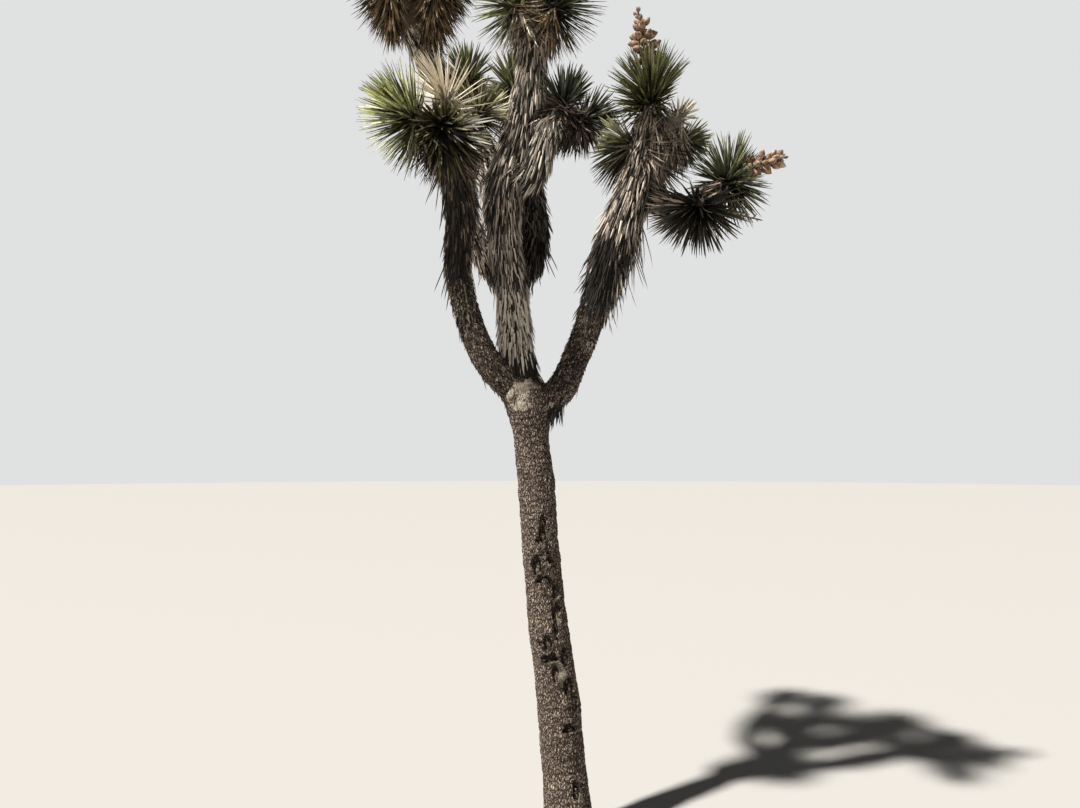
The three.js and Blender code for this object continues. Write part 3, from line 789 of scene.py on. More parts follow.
class LeafSettings(bpy.types.PropertyGroup):
    """Sizes and colours of the living leaves."""

    width: distance("Width", "Width of a leaf", 0.0108)
    thickness: distance("Keel", "Thickness of a leaf at its keel", 0.0042)
    # The heads' tones are partly their own colour and partly painted light and shade: sunny heads are paler
    # and heads in shade darker
    bright: tint("Bright", "Sunny yellow-green heads", (0.53, 0.56, 0.27))
    olive: tint("Olive", "Dark olive heads", (0.115, 0.108, 0.042))
    moss: tint("Moss", "Yellow-green heads at the back", (0.18, 0.19, 0.07))
    deep: tint("Deep", "Deep green heads", (0.125, 0.132, 0.045))
    sage: tint("Sage", "Grey-green heads", (0.12, 0.13, 0.062))
    blue: tint("Blue", "Blue-green heads", (0.11, 0.13, 0.075))
    cream: tint("Cream", "Pale old heads", (0.34, 0.34, 0.18))
    shade: tint("Shade", "Heads that hang in shade", (0.048, 0.042, 0.024))
    bleached: tint("Bleached", "Dead heads bleached by the sun", (0.98, 0.88, 0.69))
    spine: tint("Spine", "Brown spine at each tip", (0.13, 0.07, 0.04))


class FruitSettings(bpy.types.PropertyGroup):
    """Sizes and colours of the ripe fruit and of the dry flower stalk."""

    length: distance("Length", "Length of a pod", 0.058)
    width: distance("Width", "Width of a pod", 0.036)
    branch: distance("Branch", "Length of the twig under a pod", 0.026)
    skin: tint("Skin", "Ripe skin", (0.33, 0.18, 0.098))
    stalk: tint("Stalk", "Dry stalk", (0.20, 0.14, 0.09))


class StageSettings(bpy.types.PropertyGroup):
    """The floor, the light and the camera."""

    floor: tint("Floor", "Plain pale floor", (0.52, 0.51, 0.49))
    sky: tint("Surroundings", "Plain pale surroundings", (0.88, 0.885, 0.89))
    key: bpy.props.FloatProperty(
        name="Key light", description="Strength of the key light", default=6.3, min=0)
    fill: bpy.props.FloatProperty(
        name="Fill light", description="Strength of the soft fill", default=0.08, min=0)
    camera_place: bpy.props.FloatVectorProperty(
        name="Camera", description="Where the camera stands", default=(-0.131, -3.6, 1.65),
        subtype="TRANSLATION")
    camera_tilt: bpy.props.FloatProperty(
        name="Tilt", description="How far the camera looks up", default=math.radians(4), subtype="ANGLE")
    lens: bpy.props.FloatProperty(
        name="Lens", description="Focal length in millimetres", default=26.67, min=1)


def bark_grid(course, spacing, start=0.0):
    """Shares along and round a limb for an even grid of bark."""
    rows = max(12, int(course.length * (1 - start) / spacing))
    return grid_round(rows, max(24, int(course.around / spacing)), start)


def corky(course, share, across, bark, rng, columns):
    """The bark's relief as an added radius, how far each place is inside its knob, and its knob's chance."""
    along = share * course.length

    def soft(columns, pitch):
        return soft_noise(across, along, columns, pitch, rng)

    drifted = (across + 2.2 * (soft(9, 0.07) + soft(31, 0.025)) / columns) % 1
    slipped = along + 0.012 * soft(19, 0.03)
    width, height = bark.knob_width, bark.knob_height
    knob, chance = knobs(drifted, slipped, columns, width, height, rng)
    plate, _ = knobs(drifted, slipped, columns // 3, 3 * width, 2.4 * height, rng)
    wave = soft(5, 0.16) + 0.5 * soft(13, 0.05) - 0.75
    fine = soft(columns * 2, height / 2) - 0.5
    dome = np.sqrt(knob) * (0.5 + 0.7 * chance) - 0.35 * (1 - smoothstep(plate, 0, 0.3))
    return bark.waviness * wave + bark.knob_depth * (dome - 0.6) + 0.0012 * fine, knob, chance


FORK = np.array(JOINTS["fork"]) * MM
# How far from the fork limbs swell, where that starts to fade, how softly they join, and the most they swell
FORK_REACH, FORK_FADING, FORK_SOFTNESS, MOST_SWELLING = 0.34, 0.24, 0.012, 0.035
# How many balls fill each limb near the fork, and along which length
BALL_COUNT, BALL_STRETCH = 34, 0.5


def balls_near_fork():
    """Balls that fill each limb near the fork: their middles and radii."""
    balls = []
    for name in ("trunk", "left_bough_lower", "right_bough_lower", "centre_bough_lower"):
        course = COURSES[name]
        near = min(1, BALL_STRETCH / course.length)
        start = 1 - near if name == "trunk" else 0
        share = np.linspace(start, start + near, BALL_COUNT)
        balls.append((course.place(share), course.radius(share)))
    return balls


def swelling_at_fork(course, share, turn):
    """How much fatter a limb is near the fork, so that its surface runs smoothly into the other limbs'."""
    centres, radius = course.place(share), course.radius(share)
    near = np.linalg.norm(centres - FORK, axis=-1) < FORK_REACH
    middle, out, bare = centres[near], course.outward(share, turn)[near], radius[near]
    balls, extra = balls_near_fork(), np.zeros(len(bare))
    for _ in range(5):
        points = middle + out * (bare + extra)[:, None]
        total = np.zeros(len(points))
        for places, radii in balls:
            gaps = np.linalg.norm(points[:, None] - places, axis=-1) - radii
            total += np.exp(-gaps.min(axis=1) / FORK_SOFTNESS)
        extra = np.clip(extra + FORK_SOFTNESS * np.log(total), 0, MOST_SWELLING)
    added = np.zeros(radius.shape)
    added[near] = extra * (1 - smoothstep(np.linalg.norm(middle - FORK, axis=-1), FORK_FADING, FORK_REACH))
    return added


def bark_piece(name, node, places, paint, material):
    """A closed tube of bark, with its paint on its corners."""
    part = Part()
    part.add_tube(places)
    capped = np.vstack([paint.reshape(-1, 4), np.tile([0.5, 0.5, 0, 0], (2, 1))])
    part.piece(name, node, "bark", [material], True, capped)


# The weathered strip that the hollows lie in: its turn from the front and where its sides fade, in degrees,
# and where its foot and its top fade, in metres up
STRIP_TURN, STRIP_SIDES, STRIP_FOOT, STRIP_TOP = 18, (16, 38), (0.5, 0.72), (1.3, 1.42)


def make_trunk(bark):
    """The trunk's corky column, cut flat at the ground, with swollen root, hollows, bare wood and scars."""
    course = COURSES["trunk"]
    rng = seeded("trunk")
    heights = course.places[:, 2]
    ground = float(np.interp(0, heights, course.shares))
    share, across = bark_grid(course, bark.grid, ground)
    turn = FULL_TURN * across
    outward, radius = course.outward(share, turn), course.radius(share)
    # Near the ground each column is drawn out or in along the trunk so that all of them end level
    level = radius * outward[..., 2] / (course.tangent(share)[..., 2] * course.length)
    share = np.clip(share - level * (1 - smoothstep(share, ground, ground + 0.12)), 0, 1)
    along = share * course.length
    height = np.maximum(0, course.place(share)[..., 2])

    def soft(columns, pitch):
        return soft_noise(across, along, columns, pitch, rng)

    relief, knob, chance = corky(course, share, across, bark, rng, 42)
    bare, _ = marks_at(across, along, BARE_WOOD, course, heights)
    scar = scars_at(course.place(share) + outward * radius[..., None], soft(30, 0.018))
    ragged = 0.026 * (soft(30, 0.02) - 0.5)
    wider = [(place, side, 1.25 * tall, 1.35 * wide, deep) for place, side, tall, wide, deep in HOLLOWS]
    hollow, depth = marks_at((across + 0.6 * ragged) % 1, along + ragged, wider, course, heights)
    rim = smoothstep(hollow, 0, 0.1) * (1 - smoothstep(hollow, 0.1, 0.4)) * 0.008
    eroded = 1 - smoothstep(degrees_aside(across, STRIP_TURN), *STRIP_SIDES)
    eroded = eroded * smoothstep(height, *STRIP_FOOT) * (1 - smoothstep(height, *STRIP_TOP))
    depth = depth + eroded * (0.003 + 0.02 * (soft(17, 0.028) - 0.5))
    plain = np.clip(1.4 * np.maximum(bare, scar), 0, 1)
    buttress = 1 + 0.35 * np.cos(4 * turn)
    swelling = bark.root_swelling * np.exp(-height / 0.06) * buttress
    radius = radius + swelling_at_fork(course, share, turn)
    radius = radius + swelling + relief * (1 - 0.75 * plain) - depth + rim - 0.004 * bare
    places = course.surface(share, turn, radius)
    places[0, :, 2] = 0
    places[..., 2] = np.maximum(places[..., 2], 0)
    # Painted shade: the floors of deep hollows take the dark crack colour
    knob = knob * (1 - 0.95 * smoothstep(depth, 0.007, 0.014))
    # Painted highlight: the raised rims of hollows get paler worn tops
    chance = np.clip(chance + 70 * rim, 0, 1)
    paint = stack(knob, chance, bare * (1 - smoothstep(hollow, 0.1, 0.5)), scar)
    material = bark_material("bark_trunk", bark)
    middle = len(places) // 2
    for half, rows in (("lower", slice(0, middle + 1)), ("upper", slice(middle, None))):
        bark_piece(f"trunk_bark_{half}", "trunk", places[rows], paint[rows], material)


def make_fork_scars(bark):
    """The lumps of pale scar wood in front of the fork, where the centre bough leaves the trunk."""
    rng = seeded("fork_scars")
    material = bark_material("bark_scars", bark)
    for number, (middle, half, pale) in enumerate(SCAR_LUMPS):
        rise, across = grid_round(40, 64, -0.49, 0.49)
        turn, height = FULL_TURN * across, (rise + 0.5) * 0.2
        level = np.cos(math.pi * rise)
        ways = stack(level * np.sin(turn), -level * np.cos(turn), np.sin(math.pi * rise))
        lumpy = 0.85 + 0.22 * soft_noise(across, height, 7, 0.05, rng)
        lumpy = lumpy + 0.16 * soft_noise(across, height, 19, 0.02, rng)
        places = (np.array(middle) + ways * half * lumpy[..., None]) * MM
        worn = pale * smoothstep(soft_noise(across, height, 11, 0.035, rng), 0.15, 0.5)
        paint = stack(np.full_like(worn, 0.8), np.full_like(worn, 0.5), np.zeros_like(worn), worn)
        bark_piece(f"fork_scar_{number}", "trunk", places, paint, material)


def make_bare_bough(limb, bark):
    """A bough whose dead leaves have fallen: bark of small knobs."""
    course = COURSES[limb.name]
    rng = seeded(limb.name)
    share, across = bark_grid(course, bark.grid * 1.15)
    turn = FULL_TURN * across
    relief, knob, chance = corky(course, share, across, bark, rng, 28)
    radius = course.radius(share)
    places = course.surface(share, turn, radius + swelling_at_fork(course, share, turn) + relief)
    noise = soft_noise(across, share * course.length, 20, 0.018, rng)
    scar = scars_at(course.surface(share, turn, radius), noise)
    # Painted shade: smaller knobs let more of the dark crack colour show, so the bare boughs are darker
    paint = stack(knob * 0.62, chance, np.zeros_like(knob), scar)
    bark_piece(f"{limb.name}_bark", limb.name, places, paint, bark_material(f"bark_{limb.name}", bark))
    make_scales(limb, course, rng)


# Distance between the leaf roots on a bare bough, and the width and ridge of leaves that hang free
SCALE_SPACING = 0.0125
STRAND_WIDTH, STRAND_RIDGE = 0.009, 0.004


def make_scales(limb, course, rng):
    """Short broken leaf roots that stand out of a bare bough, and a few shreds that still hang."""
    thatch = bpy.context.scene.joshua_thatch
    count = int(course.around * course.length / SCALE_SPACING ** 2)
    share = 0.04 + 0.96 * (np.arange(count) + rng.random(count)) / count
    turn = turned_by_golden_angle(count) + 0.2 * rng.normal(size=count)
    is_shred = rng.random(count) < 0.03 * smoothstep(np.cos(turn), -0.2, 0.6)
    lengths = np.where(is_shred, 0.05 + 0.06 * rng.random(count), 0.014 + 0.014 * rng.random(count))
    lift = np.where(is_shred, 0.15, 0.25 + 0.45 * rng.random(count))
    ways, backs = hanging_ways(course, share, turn, rng, lift, 0.35, 0.12)
    radius = course.radius(share) + swelling_at_fork(course, share, turn)
    roots = course.surface(share, turn, radius - 0.003)
    tone = rng.integers(0, 4, count)
    # Painted shade: each root's stretch is two steps darker than its tip
    slots = stack(np.maximum(tone - 2, 0), tone)
    widths = 0.007 + 0.005 * rng.random(count)
    part = Part()
    part.add_blades(SHORT_RINGS, roots, ways, backs, lengths, widths, STRAND_RIDGE, 0, slots)
    if limb.fringe:
        hang_fringe(part, course, limb, rng)
    part.piece(f"{limb.name}_scales", limb.name, limb.slot, tones("umber", thatch.umber, 0.85))


def hanging_ways(course, share, turn, rng, lift, droop, tangle):
    """Directions of leaves that lie down along a limb towards its foot, pulled down by their weight."""
    outward = course.outward(share, turn)
    ways = -course.tangent(share) + droop * DOWN + tangle * rng.normal(size=outward.shape)
    ways = unit(ways - outward * np.minimum(0, dot(ways, outward)))
    ways = unit(ways + outward * lift[:, None])
    return ways, square_to(outward, ways)


# The values between 0 and 1 that part the five tones, darkest first
THATCH_TONE_MARKS = [0.26, 0.42, 0.58, 0.74]
LIVING_TONE_MARKS = [0.16, 0.38, 0.62, 0.84]
DEAD_TONE_MARKS = [0.24, 0.46, 0.66, 0.84]


def dealt_tones(rng, course, share, turn, sprays):
    """A tone for each leaf: patches of like tone along a limb, with chance mixed in, and then the sprays."""
    across = (turn / FULL_TURN) % 1
    value = 0.35 * soft_noise(across, share * course.length, 6, 0.11, rng) + 0.65 * rng.random(len(share))
    tone = np.searchsorted(THATCH_TONE_MARKS, value)
    for low, high, middle, half, steps in sprays:
        ragged = 0.1 * (rng.random(len(share)) - 0.5)
        is_inside = (share + ragged > low) & (share + ragged < high)
        is_inside &= degrees_aside(across, middle) * (1 + 4 * ragged) < half
        is_inside &= rng.random(len(share)) < (0.98 if steps == PAINTED_SHADOW else 0.7)
        tone = np.where(is_inside, PAINTED_SHADOW if steps == PAINTED_SHADOW else np.clip(tone + steps, 0, 4), tone)
    return tone


# How deep the hanging leaves are rooted under the limb's surface
THATCH_ROOT = 0.006


def add_core(part, course, rng, is_round):
    """The mat under the hanging leaves, a little inside the limb's surface, painted near black as the shade
    between them.
    """
    share, across = grid_round(max(8, int(course.length / 0.03)), 20)
    uneven = 0.008 * (soft_noise(across, share * course.length, 8, 0.05, rng) - 0.5)
    places = course.surface(share, FULL_TURN * across, course.radius(share) - THATCH_ROOT + uneven)
    if is_round:
        rise = np.radians([22, 45, 66, 82])[:, None, None]
        end, way = course.places[-1], course.tangents[-1]
        dome = end + (places[-1] - end) * np.cos(rise) + way * 0.9 * course.girth[-1] * np.sin(rise)
        places = np.vstack([places, dome])
    part.add_tube(places)


def crown_end(part, course, thatch, rng):
    """Dead leaves that spread over a limb's round end and hang down round it."""
    count = int(FULL_TURN * course.girth[-1] ** 2 / thatch.spacing ** 2 * 3)
    rise = np.arcsin(rng.random(count) * 0.95)
    turn = turned_by_golden_angle(count) + 0.3 * rng.normal(size=count)
    outward, tangent = course.outward(np.ones(count), turn), course.tangents[-1]
    cos, sin = np.cos(rise)[:, None], np.sin(rise)[:, None]
    radius = course.girth[-1] - THATCH_ROOT
    roots = course.places[-1] + radius * (outward * cos + tangent * 0.9 * sin)
    normal = unit(outward * cos + tangent * sin)
    ways = unit(outward * sin - tangent * cos + 0.35 * DOWN + 0.12 * rng.normal(size=outward.shape))
    ways = unit(ways - normal * np.minimum(0, dot(ways, normal) - 0.12))
    lengths = thatch.length * (0.45 + 0.5 * rng.random(count))
    tone = rng.integers(0, 5, count)
    # Painted shade: each leaf's root stretch is a step darker
    slots = stack(np.maximum(tone - 1, 0), tone, tone)
    bends = -0.3 + 0.1 * rng.normal(size=count)
    backs = square_to(normal, ways)
    part.add_blades(DEAD_RINGS, roots, ways, backs, lengths, thatch.width, thatch.thickness, bends, slots)


def hang_fringe(part, course, limb, rng):
    """Long dead leaves that hang free from one side of a limb."""
    count, low, high, turn = limb.fringe
    share = rng.uniform(low, high, count)
    turns = np.radians(turn + 28 * rng.normal(size=count))
    outward = course.outward(share, turns)
    ways = unit(DOWN + 0.25 * outward - 0.3 * course.tangent(share) + 0.16 * rng.normal(size=outward.shape))
    roots = course.surface(share, turns, course.radius(share) - THATCH_ROOT)
    tones_used, reach = (3, 1.35) if limb.tone else (2, 0.9)
    tone = rng.integers(0, tones_used, count)
    slots = stack(tone, tone, np.maximum(tone - 1, 0))
    lengths = reach * course.radius(share) * (0.5 + 1.6 * rng.random(count) ** 1.5)
    bends = 0.08 * rng.normal(size=count)
    backs = square_to(outward, ways)
    part.add_blades(DEAD_RINGS, roots, ways, backs, lengths, STRAND_WIDTH, STRAND_RIDGE, bends, slots)


def make_thatch(limb, thatch):
    """A shaggy bough: a core painted near black as the shade under the leaves, and the dead leaves that lie
    over it in rows, like thatch.
    """
    course = COURSES[limb.name]
    rng = seeded(limb.name)
    colour = np.array(getattr(thatch, limb.tone))
    core = Part()
    add_core(core, course, rng, not limb.ends)
    # Painted shade: the core takes the leaves' colour times 0.08
    mat = core_material(f"core_{limb.name}", colour * 0.08)
    core.piece(f"{limb.name}_core", limb.name, limb.slot, [mat], True)

    count = int(course.around * course.length / thatch.spacing ** 2 / limb.lie)
    share = (np.arange(count) + rng.random(count)) / count
    turn = turned_by_golden_angle(count) + 0.12 * rng.normal(size=count)
    is_stray = rng.random(count) < limb.stray
    lengths = thatch.length * (0.65 + 0.6 * rng.random(count)) * limb.lie
    lengths = np.where(is_stray, thatch.length * (1 + 0.8 * rng.random(count)), lengths)
    if not limb.starts:
        lengths = np.minimum(lengths, share * course.length + 0.04)
    lift = 0.08 + 0.2 * rng.random(count) ** 2
    lift = np.where(is_stray, lift + 0.5 * rng.random(count) ** 2, lift)
    ways, backs = hanging_ways(course, share, turn, rng, lift, 0.25, 0.05)
    roots = course.surface(share, turn, course.radius(share) - THATCH_ROOT)
    tone = dealt_tones(rng, course, share, turn, limb.sprays)
    # Painted shade: each leaf's root stretch takes the darkest tone, where the row above shades it
    slots = stack(np.zeros(count, int), tone, tone)
    widths = thatch.width * (0.65 + 0.7 * rng.random(count))
    bends = 0.10 * (rng.random(count) - 0.5)
    part = Part()
    part.add_blades(THATCH_RINGS, roots, ways, backs, lengths, widths, thatch.thickness, bends, slots)
    if not limb.ends:
        crown_end(part, course, thatch, rng)
    if limb.fringe:
        hang_fringe(part, course, limb, rng)
    # The sixth slot: the painted shadow material
    painted_shadow = plain_material(f"soot_{limb.name}", thatch.painted_shadow, 0.95)
    part.piece(f"{limb.name}_thatch", limb.name, limb.slot, tones(limb.tone, colour, 0.85) + [painted_shadow])


STEMS = np.array([[JOINTS[head.foot], head.tip] for head in HEADS], float) * MM
# A stem's profile: shares of its length, its radius there, and how deep the leaves are rooted there
STEM_SHARES = [0, 0.35, 0.66, 0.88, 1]
STEM_RADII = [0.9, 0.92, 0.8, 0.55, 0.2]
LEAF_DEPTHS = [0.95, 1, 0.88, 0.62, 0.25]
LIMB_PLACES = np.vstack([course.places[::6] for course in COURSES.values()])
LIMB_RADII = np.concatenate([course.radius(course.shares[::6]) for course in COURSES.values()])


def distance_to_stems(points):
    """The distance from each point to each head's stem."""
    foot, along = STEMS[:, 0], STEMS[:, 1] - STEMS[:, 0]
    share = np.einsum("...ij,ij->...i", points[..., None, :] - foot, along) / np.sum(along * along, axis=1)
    nearest = foot + np.clip(share, 0, 1)[..., None] * along
    return np.linalg.norm(points[..., None, :] - nearest, axis=-1)


def free_lengths(index, roots, ways, lengths, is_living):
    """How long each leaf can be outside the limbs' cores and, if it lives, inside its own head's space, that
    is, nearer to its stem than to any other. A leaf with too little room gets length 0."""
    steps = np.linspace(0.4, 1, 7)
    points = roots[:, None] + ways[:, None] * (lengths[:, None] * steps)[..., None]
    limb_gaps = np.linalg.norm(points[:, :, None] - LIMB_PLACES, axis=-1)
    free = (limb_gaps - (0.9 if is_living else 0.6) * LIMB_RADII).min(axis=-1) > 0
    if is_living:
        gaps = distance_to_stems(points)
        own = gaps[..., index].copy()
        gaps[..., index] = np.inf
        free &= gaps.min(axis=-1) > own + 0.004
    room = np.where(free.all(axis=1), 1.0, steps[np.argmax(~free, axis=1)] - 0.1)
    return np.where(room >= 0.5, lengths * room, 0)


def around_axis(axis, turns, leans):
    """Directions that lean out from an axis at a turn round it, and each one's back, which faces out."""
    reference = np.array([0.0, 0.0, 1.0]) if abs(axis[2]) < 0.9 else np.array([0.0, 1.0, 0.0])
    sideways = unit(np.cross(reference, axis))
    radial = sideways * np.cos(turns)[:, None] + np.cross(axis, sideways) * np.sin(turns)[:, None]
    cos, sin = np.cos(leans)[:, None], np.sin(leans)[:, None]
    return axis * cos + radial * sin, radial * cos - axis * sin


def leaf_rule(index, is_living, rng):
    """A head's leaves by one rule: each turns on by the golden angle and leans further out than the last,
    living ones from the growing tip down, then dead ones that hang."""
    head = HEADS[index]
    foot, tip = STEMS[index]
    axis, reach = unit(tip - foot), np.linalg.norm(tip - foot)
    count = head.living if is_living else head.dead
    share = (np.arange(count) + 0.5) / count
    turns = turned_by_golden_angle(count) + 0.5 * rng.random(count)
    if is_living:
        leans = mix(7, head.spread, share ** 0.75) + 5 * rng.normal(size=count)
        lengths = mix(0.78, 1, np.sqrt(share))
        below, weight, leaning = mix(0.02, head.below, share), head.droop, head.fan
    else:
        leans = mix(100, 166, share) + 8 * rng.normal(size=count)
        lengths = np.full(count, 0.92)
        below, weight, leaning = mix(0.3, head.skirt, share), head.weight, head.sway
    ways, backs = around_axis(axis, turns, np.radians(leans))
    ways = unit(ways + weight * DOWN + np.array(leaning))
    if head.faces_sun:
        backs = SUNWARD + 0.4 * rng.normal(size=ways.shape)
    backs = square_to(backs, ways)
    below = min(reach, head.leafy * MM) * below
    inset = 0.7 * np.interp(1 - below / reach, STEM_SHARES, LEAF_DEPTHS) * head.core * MM
    roots = tip - axis * below[:, None] + square_to(ways, axis) * inset[:, None]
    lengths = head.leaf * MM * lengths * (1 + 0.16 * (rng.random(count) - 0.5))
    lengths = np.maximum(lengths - inset * np.sin(np.radians(leans)), 0.05)
    if is_living:
        lengths = lengths * head.stunted
        lengths = lengths * (1 - smoothstep(ways[:, 2], 0.0, 0.5) * (1 - head.crowded))
        if head.clears:
            lengths = lengths * (1 - 0.6 * smoothstep(ways @ unit(np.array(head.clears)), 0.72, 0.9))
    free = free_lengths(index, roots, ways, lengths, is_living)
    keep = free > 0
    return roots[keep], ways[keep], backs[keep], free[keep], share[keep]


def make_head(index, leaf, thatch):
    """A head: its stem, its living leaves and the dead ones under them."""
    head = HEADS[index]
    rng = seeded(head.name)
    roots, ways, backs, lengths, share = leaf_rule(index, True, rng)
    count = len(roots)
    blade = tones(head.tone, getattr(leaf, head.tone), 0.45)
    if "spine" not in bpy.data.materials:
        plain_material("spine", leaf.spine, 0.6)
    # Painted shade: leaves that point down are dealt darker tones as far as shaded_below says, and each
    # leaf's root stretch takes the darkest tone, so the head's middle is dark. In bleached heads the root
    # stretch is a step darker
    order = mix(rng.random(count), smoothstep(ways[:, 2], -0.8, 0.5), head.shaded_below)
    tone = np.searchsorted(LIVING_TONE_MARKS, order)
    slots = stack(np.zeros(count, int), np.maximum(tone - 1, 0), tone, np.full(count, len(blade)))
    if head.slot == "bleached_leaves":
        slots = stack(np.maximum(tone - 1, 0), tone, tone, tone)
    widths = leaf.width * (0.85 + 0.3 * rng.random(count)) * head.broad
    bends = 0.02 + 0.07 * rng.normal(size=count) + 0.05 * share
    part = Part()
    part.add_blades(LIVING_RINGS, roots, ways, backs, lengths, widths, leaf.thickness, bends, slots)
    part.piece(f"{head.name}_leaves", head.name, head.slot, blade + [bpy.data.materials["spine"]])

    roots, ways, backs, lengths, share = leaf_rule(index, False, rng)
    count = len(roots)
    tone = np.searchsorted(DEAD_TONE_MARKS, rng.random(count))
    slots = stack(tone, tone, np.maximum(tone - 1, 0))
    bends = -0.10 + 0.10 * rng.normal(size=count)
    widths = thatch.width * (1 + 0.5 * rng.random(count)) * head.coarse
    part = Part()
    part.add_blades(DEAD_RINGS, roots, ways, backs, lengths, widths, thatch.thickness, bends, slots)
    dead_colour = getattr(thatch, head.dead_tone)
    part.piece(f"{head.name}_dead_leaves", head.name, head.slot, tones(head.dead_tone, dead_colour, 0.85))

    foot, tip = STEMS[index]
    course = Course(np.array([foot, mix(foot, tip, 0.5), tip]), [1, 1], 2)
    share, across = grid_round(14, 16)
    radius = np.interp(share, STEM_SHARES, STEM_RADII) * head.core * MM
    stem = Part()
    stem.add_tube(course.surface(share, FULL_TURN * across, radius * rng.uniform(0.9, 1.1, share.shape)))
    material = core_material(f"stem_{head.name}", darker(dead_colour, 0.5))
    stem.piece(f"{head.name}_stem", head.name, head.slot, [material], True)


def add_pod(part, root, way, length, width, rng):
    """Adds a ripe pod: plump, six-ridged and pointed."""
    rows, sides = 7, 12
    share = np.linspace(0, 1, rows + 1)
    profile = np.sin(math.pi * np.clip(share, 0.02, 0.985) ** 0.85) ** 0.7
    turn = FULL_TURN * np.arange(sides) / sides + rng.random() * 6
    ridge = 1 + 0.07 * np.cos(6 * turn)
    radius = profile[:, None] * ridge * width / 2
    middle = root + way * (share * length)[:, None]
    part.add_tube(middle[:, None] + radial_round(way, turn) * radius[..., None])


def make_cluster(name, fruit):
    """A cluster of fruit: pods on short twigs turn round one stalk, from above its bare foot to its tip."""
    head_name, axis, stalk, bare, count, full, scale = CLUSTERS[name]
    rng = seeded(name)
    axis = unit(np.array(axis, float))
    foot = STEMS[[head.name for head in HEADS].index(head_name)][1] - axis * 0.015
    stalk = stalk * MM
    pods, twigs = Part(), Part()
    twigs.add_twig(foot, foot + axis * stalk, 0.011, 0.005, 10, 6)
    share = (np.arange(count) + 0.5) / count
    leans = np.radians(mix(98, 22, share) + 8 * rng.normal(size=count))
    ways, _ = around_axis(axis, turned_by_golden_angle(count) + 0.4 * rng.random(count), leans)
    for here, way in zip(share, ways):
        root = foot + axis * mix(bare * MM, stalk - 0.005, here)
        end = root + way * fruit.branch * rng.uniform(0.4, 1.1)
        twigs.add_twig(root, end, 0.0035, 0.003, 6, 1)
        size = scale * rng.uniform(0.7, 1.15) * (1 if here < full else 0.5)
        add_pod(pods, end - way * 0.004, way, fruit.length * size, fruit.width * size, rng)
    pods.piece(f"{name}_pods", name, "fruit", [fruit_material(f"pods_{name}", fruit.skin)], True)
    twigs.piece(f"{name}_twigs", name, "fruit", [core_material(f"twigs_{name}", fruit.stalk)], True)


def make_old_stalk(fruit):
    """The dry stalk of an old flower head, with its bare twigs."""
    rng = seeded("old_flower_stalk")
    root, end = np.array(JOINTS["sideSpur"]) * MM, np.array(STALK_END) * MM
    axis = unit(end - root)
    part = Part()
    part.add_twig(root, end, *STALK_RADII, 8, 8)
    share = np.linspace(0.38, 0.98, STALK_TWIGS)
    turns = turned_by_golden_angle(STALK_TWIGS) + rng.random(STALK_TWIGS)
    ways, _ = around_axis(axis, turns, np.radians(55 + 12 * rng.normal(size=STALK_TWIGS)))
    for here, way in zip(share, ways):
        start = mix(root, end, here)
        reach = STALK_TWIG * mix(1.1, 0.5, here) * rng.uniform(0.7, 1.1)
        part.add_twig(start, start + way * reach, 0.0035, 0.0015, 6, 2)
    material = core_material("old_stalk", fruit.stalk)
    part.piece("old_flower_stalk_twigs", "old_flower_stalk", "dry_stalk", [material], True)


# How bright the surroundings look to the camera
BACKDROP_STRENGTH = 0.85


def make_stage(stage):
    """A plain pale floor, soft studio light and the camera at the photograph's viewing angle."""
    sides, reach = 48, 60
    turn = FULL_TURN * np.arange(sides) / sides
    ring = stack(reach * np.cos(turn), reach * np.sin(turn), np.zeros(sides))
    part = Part()
    part.add(ring, [(np.arange(sides)[None, :], 0)])
    part.make("floor", [plain_material("floor", stage.floor, 0.9)])

    world = bpy.data.worlds.new("surroundings")
    world.use_nodes = True
    nodes, links = world.node_tree.nodes, world.node_tree.links
    fill, backdrop = nodes["Background"], nodes.new("ShaderNodeBackground")
    for background, strength in ((fill, stage.fill), (backdrop, BACKDROP_STRENGTH)):
        background.inputs["Color"].default_value = (*stage.sky, 1)
        background.inputs["Strength"].default_value = strength
    seen = nodes.new("ShaderNodeLightPath")
    either = nodes.new("ShaderNodeMixShader")
    links.new(seen.outputs["Is Camera Ray"], either.inputs[0])
    links.new(fill.outputs[0], either.inputs[1])
    links.new(backdrop.outputs[0], either.inputs[2])
    links.new(either.outputs[0], nodes["World Output"].inputs[0])
    scene = bpy.context.scene
    scene.world = world

    key = bpy.data.lights.new("key", "SUN")
    key.energy = stage.key
    key.angle = math.radians(3)
    key.color = (1.0, 0.965, 0.91)
    lamp = bpy.data.objects.new("key", key)
    lamp.rotation_euler = (math.radians(35), 0, math.radians(-55))
    scene.collection.objects.link(lamp)

    camera = bpy.data.objects.new("camera", bpy.data.cameras.new("camera"))
    camera.data.sensor_width = 36
    camera.data.sensor_fit = "HORIZONTAL"
    camera.data.lens = stage.lens
    camera.location = stage.camera_place
    camera.rotation_euler = (math.pi / 2 + stage.camera_tilt, 0, 0)
    scene.collection.objects.link(camera)
    scene.camera = camera
    scene.view_settings.view_transform = "Standard"


class JOSHUA_OT_trunk(bpy.types.Operator):
    """Make the trunk's bark"""

    bl_idname = "joshua.trunk"
    bl_label = "Trunk"

    def execute(self, context):
        make_trunk(context.scene.joshua_bark)
        make_fork_scars(context.scene.joshua_bark)
        return {"FINISHED"}


class JOSHUA_OT_bare_boughs(bpy.types.Operator):
    """Make the boughs whose dead leaves have fallen"""

    bl_idname = "joshua.bare_boughs"
    bl_label = "Bare Boughs"

    def execute(self, context):
        for limb in LIMBS:
            if not limb.tone and limb.name != "trunk":
                make_bare_bough(limb, context.scene.joshua_bark)
        return {"FINISHED"}


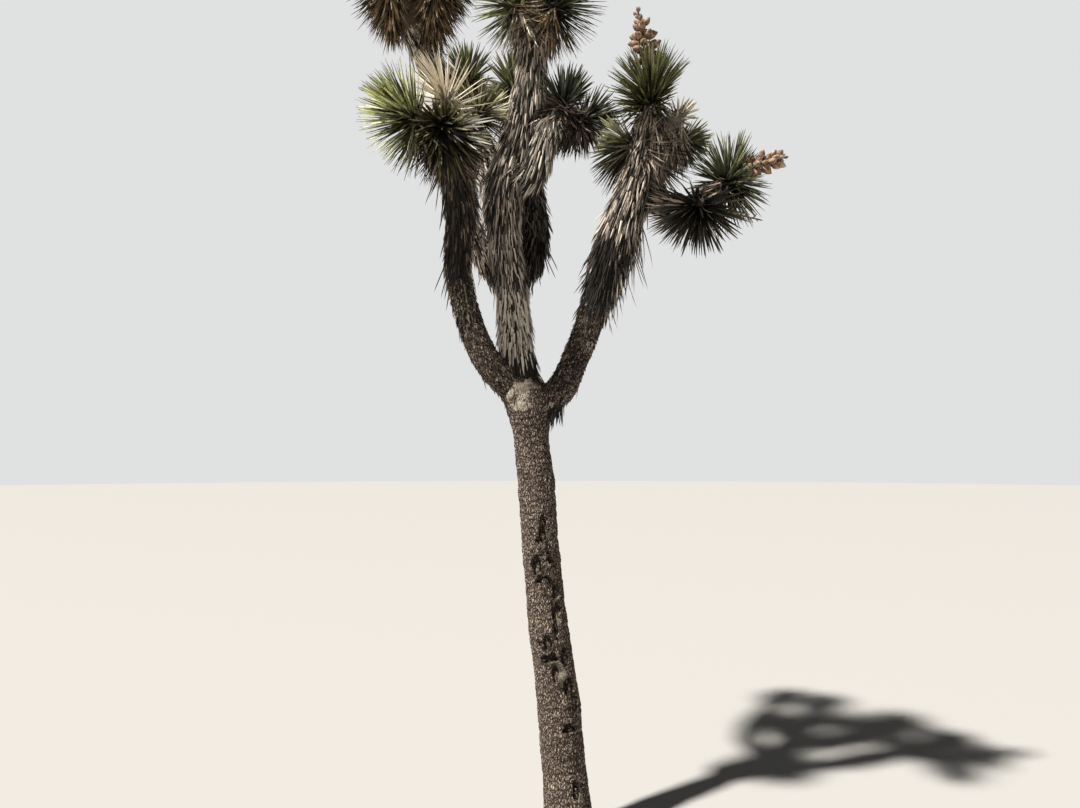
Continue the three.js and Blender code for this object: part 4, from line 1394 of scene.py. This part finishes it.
class JOSHUA_OT_shaggy_boughs(bpy.types.Operator):
    """Make the boughs that are thatched with dead leaves"""

    bl_idname = "joshua.shaggy_boughs"
    bl_label = "Shaggy Boughs"

    def execute(self, context):
        for limb in LIMBS:
            if limb.tone:
                make_thatch(limb, context.scene.joshua_thatch)
        return {"FINISHED"}


class JOSHUA_OT_heads(bpy.types.Operator):
    """Make the heads of dagger leaves"""

    bl_idname = "joshua.heads"
    bl_label = "Heads of Leaves"

    def execute(self, context):
        for index in range(len(HEADS)):
            make_head(index, context.scene.joshua_leaf, context.scene.joshua_thatch)
        return {"FINISHED"}


class JOSHUA_OT_fruit(bpy.types.Operator):
    """Make the clusters of ripe fruit"""

    bl_idname = "joshua.fruit"
    bl_label = "Fruit"

    def execute(self, context):
        for name in CLUSTERS:
            make_cluster(name, context.scene.joshua_fruit)
        return {"FINISHED"}


class JOSHUA_OT_old_stalk(bpy.types.Operator):
    """Make the dry stalk of an old flower head"""

    bl_idname = "joshua.old_stalk"
    bl_label = "Old Flower Stalk"

    def execute(self, context):
        make_old_stalk(context.scene.joshua_fruit)
        return {"FINISHED"}


class JOSHUA_OT_stage(bpy.types.Operator):
    """Make the floor, the light and the camera"""

    bl_idname = "joshua.stage"
    bl_label = "Stage"

    def execute(self, context):
        make_stage(context.scene.joshua_stage)
        return {"FINISHED"}


SETTINGS = {
    "joshua_bark": BarkSettings,
    "joshua_thatch": ThatchSettings,
    "joshua_leaf": LeafSettings,
    "joshua_fruit": FruitSettings,
    "joshua_stage": StageSettings,
}
OPERATORS = [
    JOSHUA_OT_trunk,
    JOSHUA_OT_bare_boughs,
    JOSHUA_OT_shaggy_boughs,
    JOSHUA_OT_heads,
    JOSHUA_OT_fruit,
    JOSHUA_OT_old_stalk,
    JOSHUA_OT_stage,
]


class JOSHUA_PT_panel(bpy.types.Panel):
    """The tree's sizes and colours, and a button for each group of pieces"""

    bl_idname = "JOSHUA_PT_panel"
    bl_label = "Joshua Tree"
    bl_space_type = "VIEW_3D"
    bl_region_type = "UI"
    bl_category = "Joshua Tree"

    def draw(self, context):
        for name, group in SETTINGS.items():
            box = self.layout.box()
            for field in group.__annotations__:
                box.prop(getattr(context.scene, name), field)
        for operator in OPERATORS:
            self.layout.operator(operator.bl_idname)


CLASSES = (*SETTINGS.values(), *OPERATORS, JOSHUA_PT_panel)


def register():
    for kind in CLASSES:
        bpy.utils.register_class(kind)
    for name, group in SETTINGS.items():
        setattr(bpy.types.Scene, name, bpy.props.PointerProperty(type=group))


def unregister():
    for name in SETTINGS:
        delattr(bpy.types.Scene, name)
    for kind in reversed(CLASSES):
        bpy.utils.unregister_class(kind)


def main():
    register()
    bpy.ops.joshua.trunk()
    bpy.ops.joshua.bare_boughs()
    bpy.ops.joshua.shaggy_boughs()
    bpy.ops.joshua.heads()
    bpy.ops.joshua.fruit()
    bpy.ops.joshua.old_stalk()
    bpy.ops.joshua.stage()


if __name__ == "__main__":
    main()
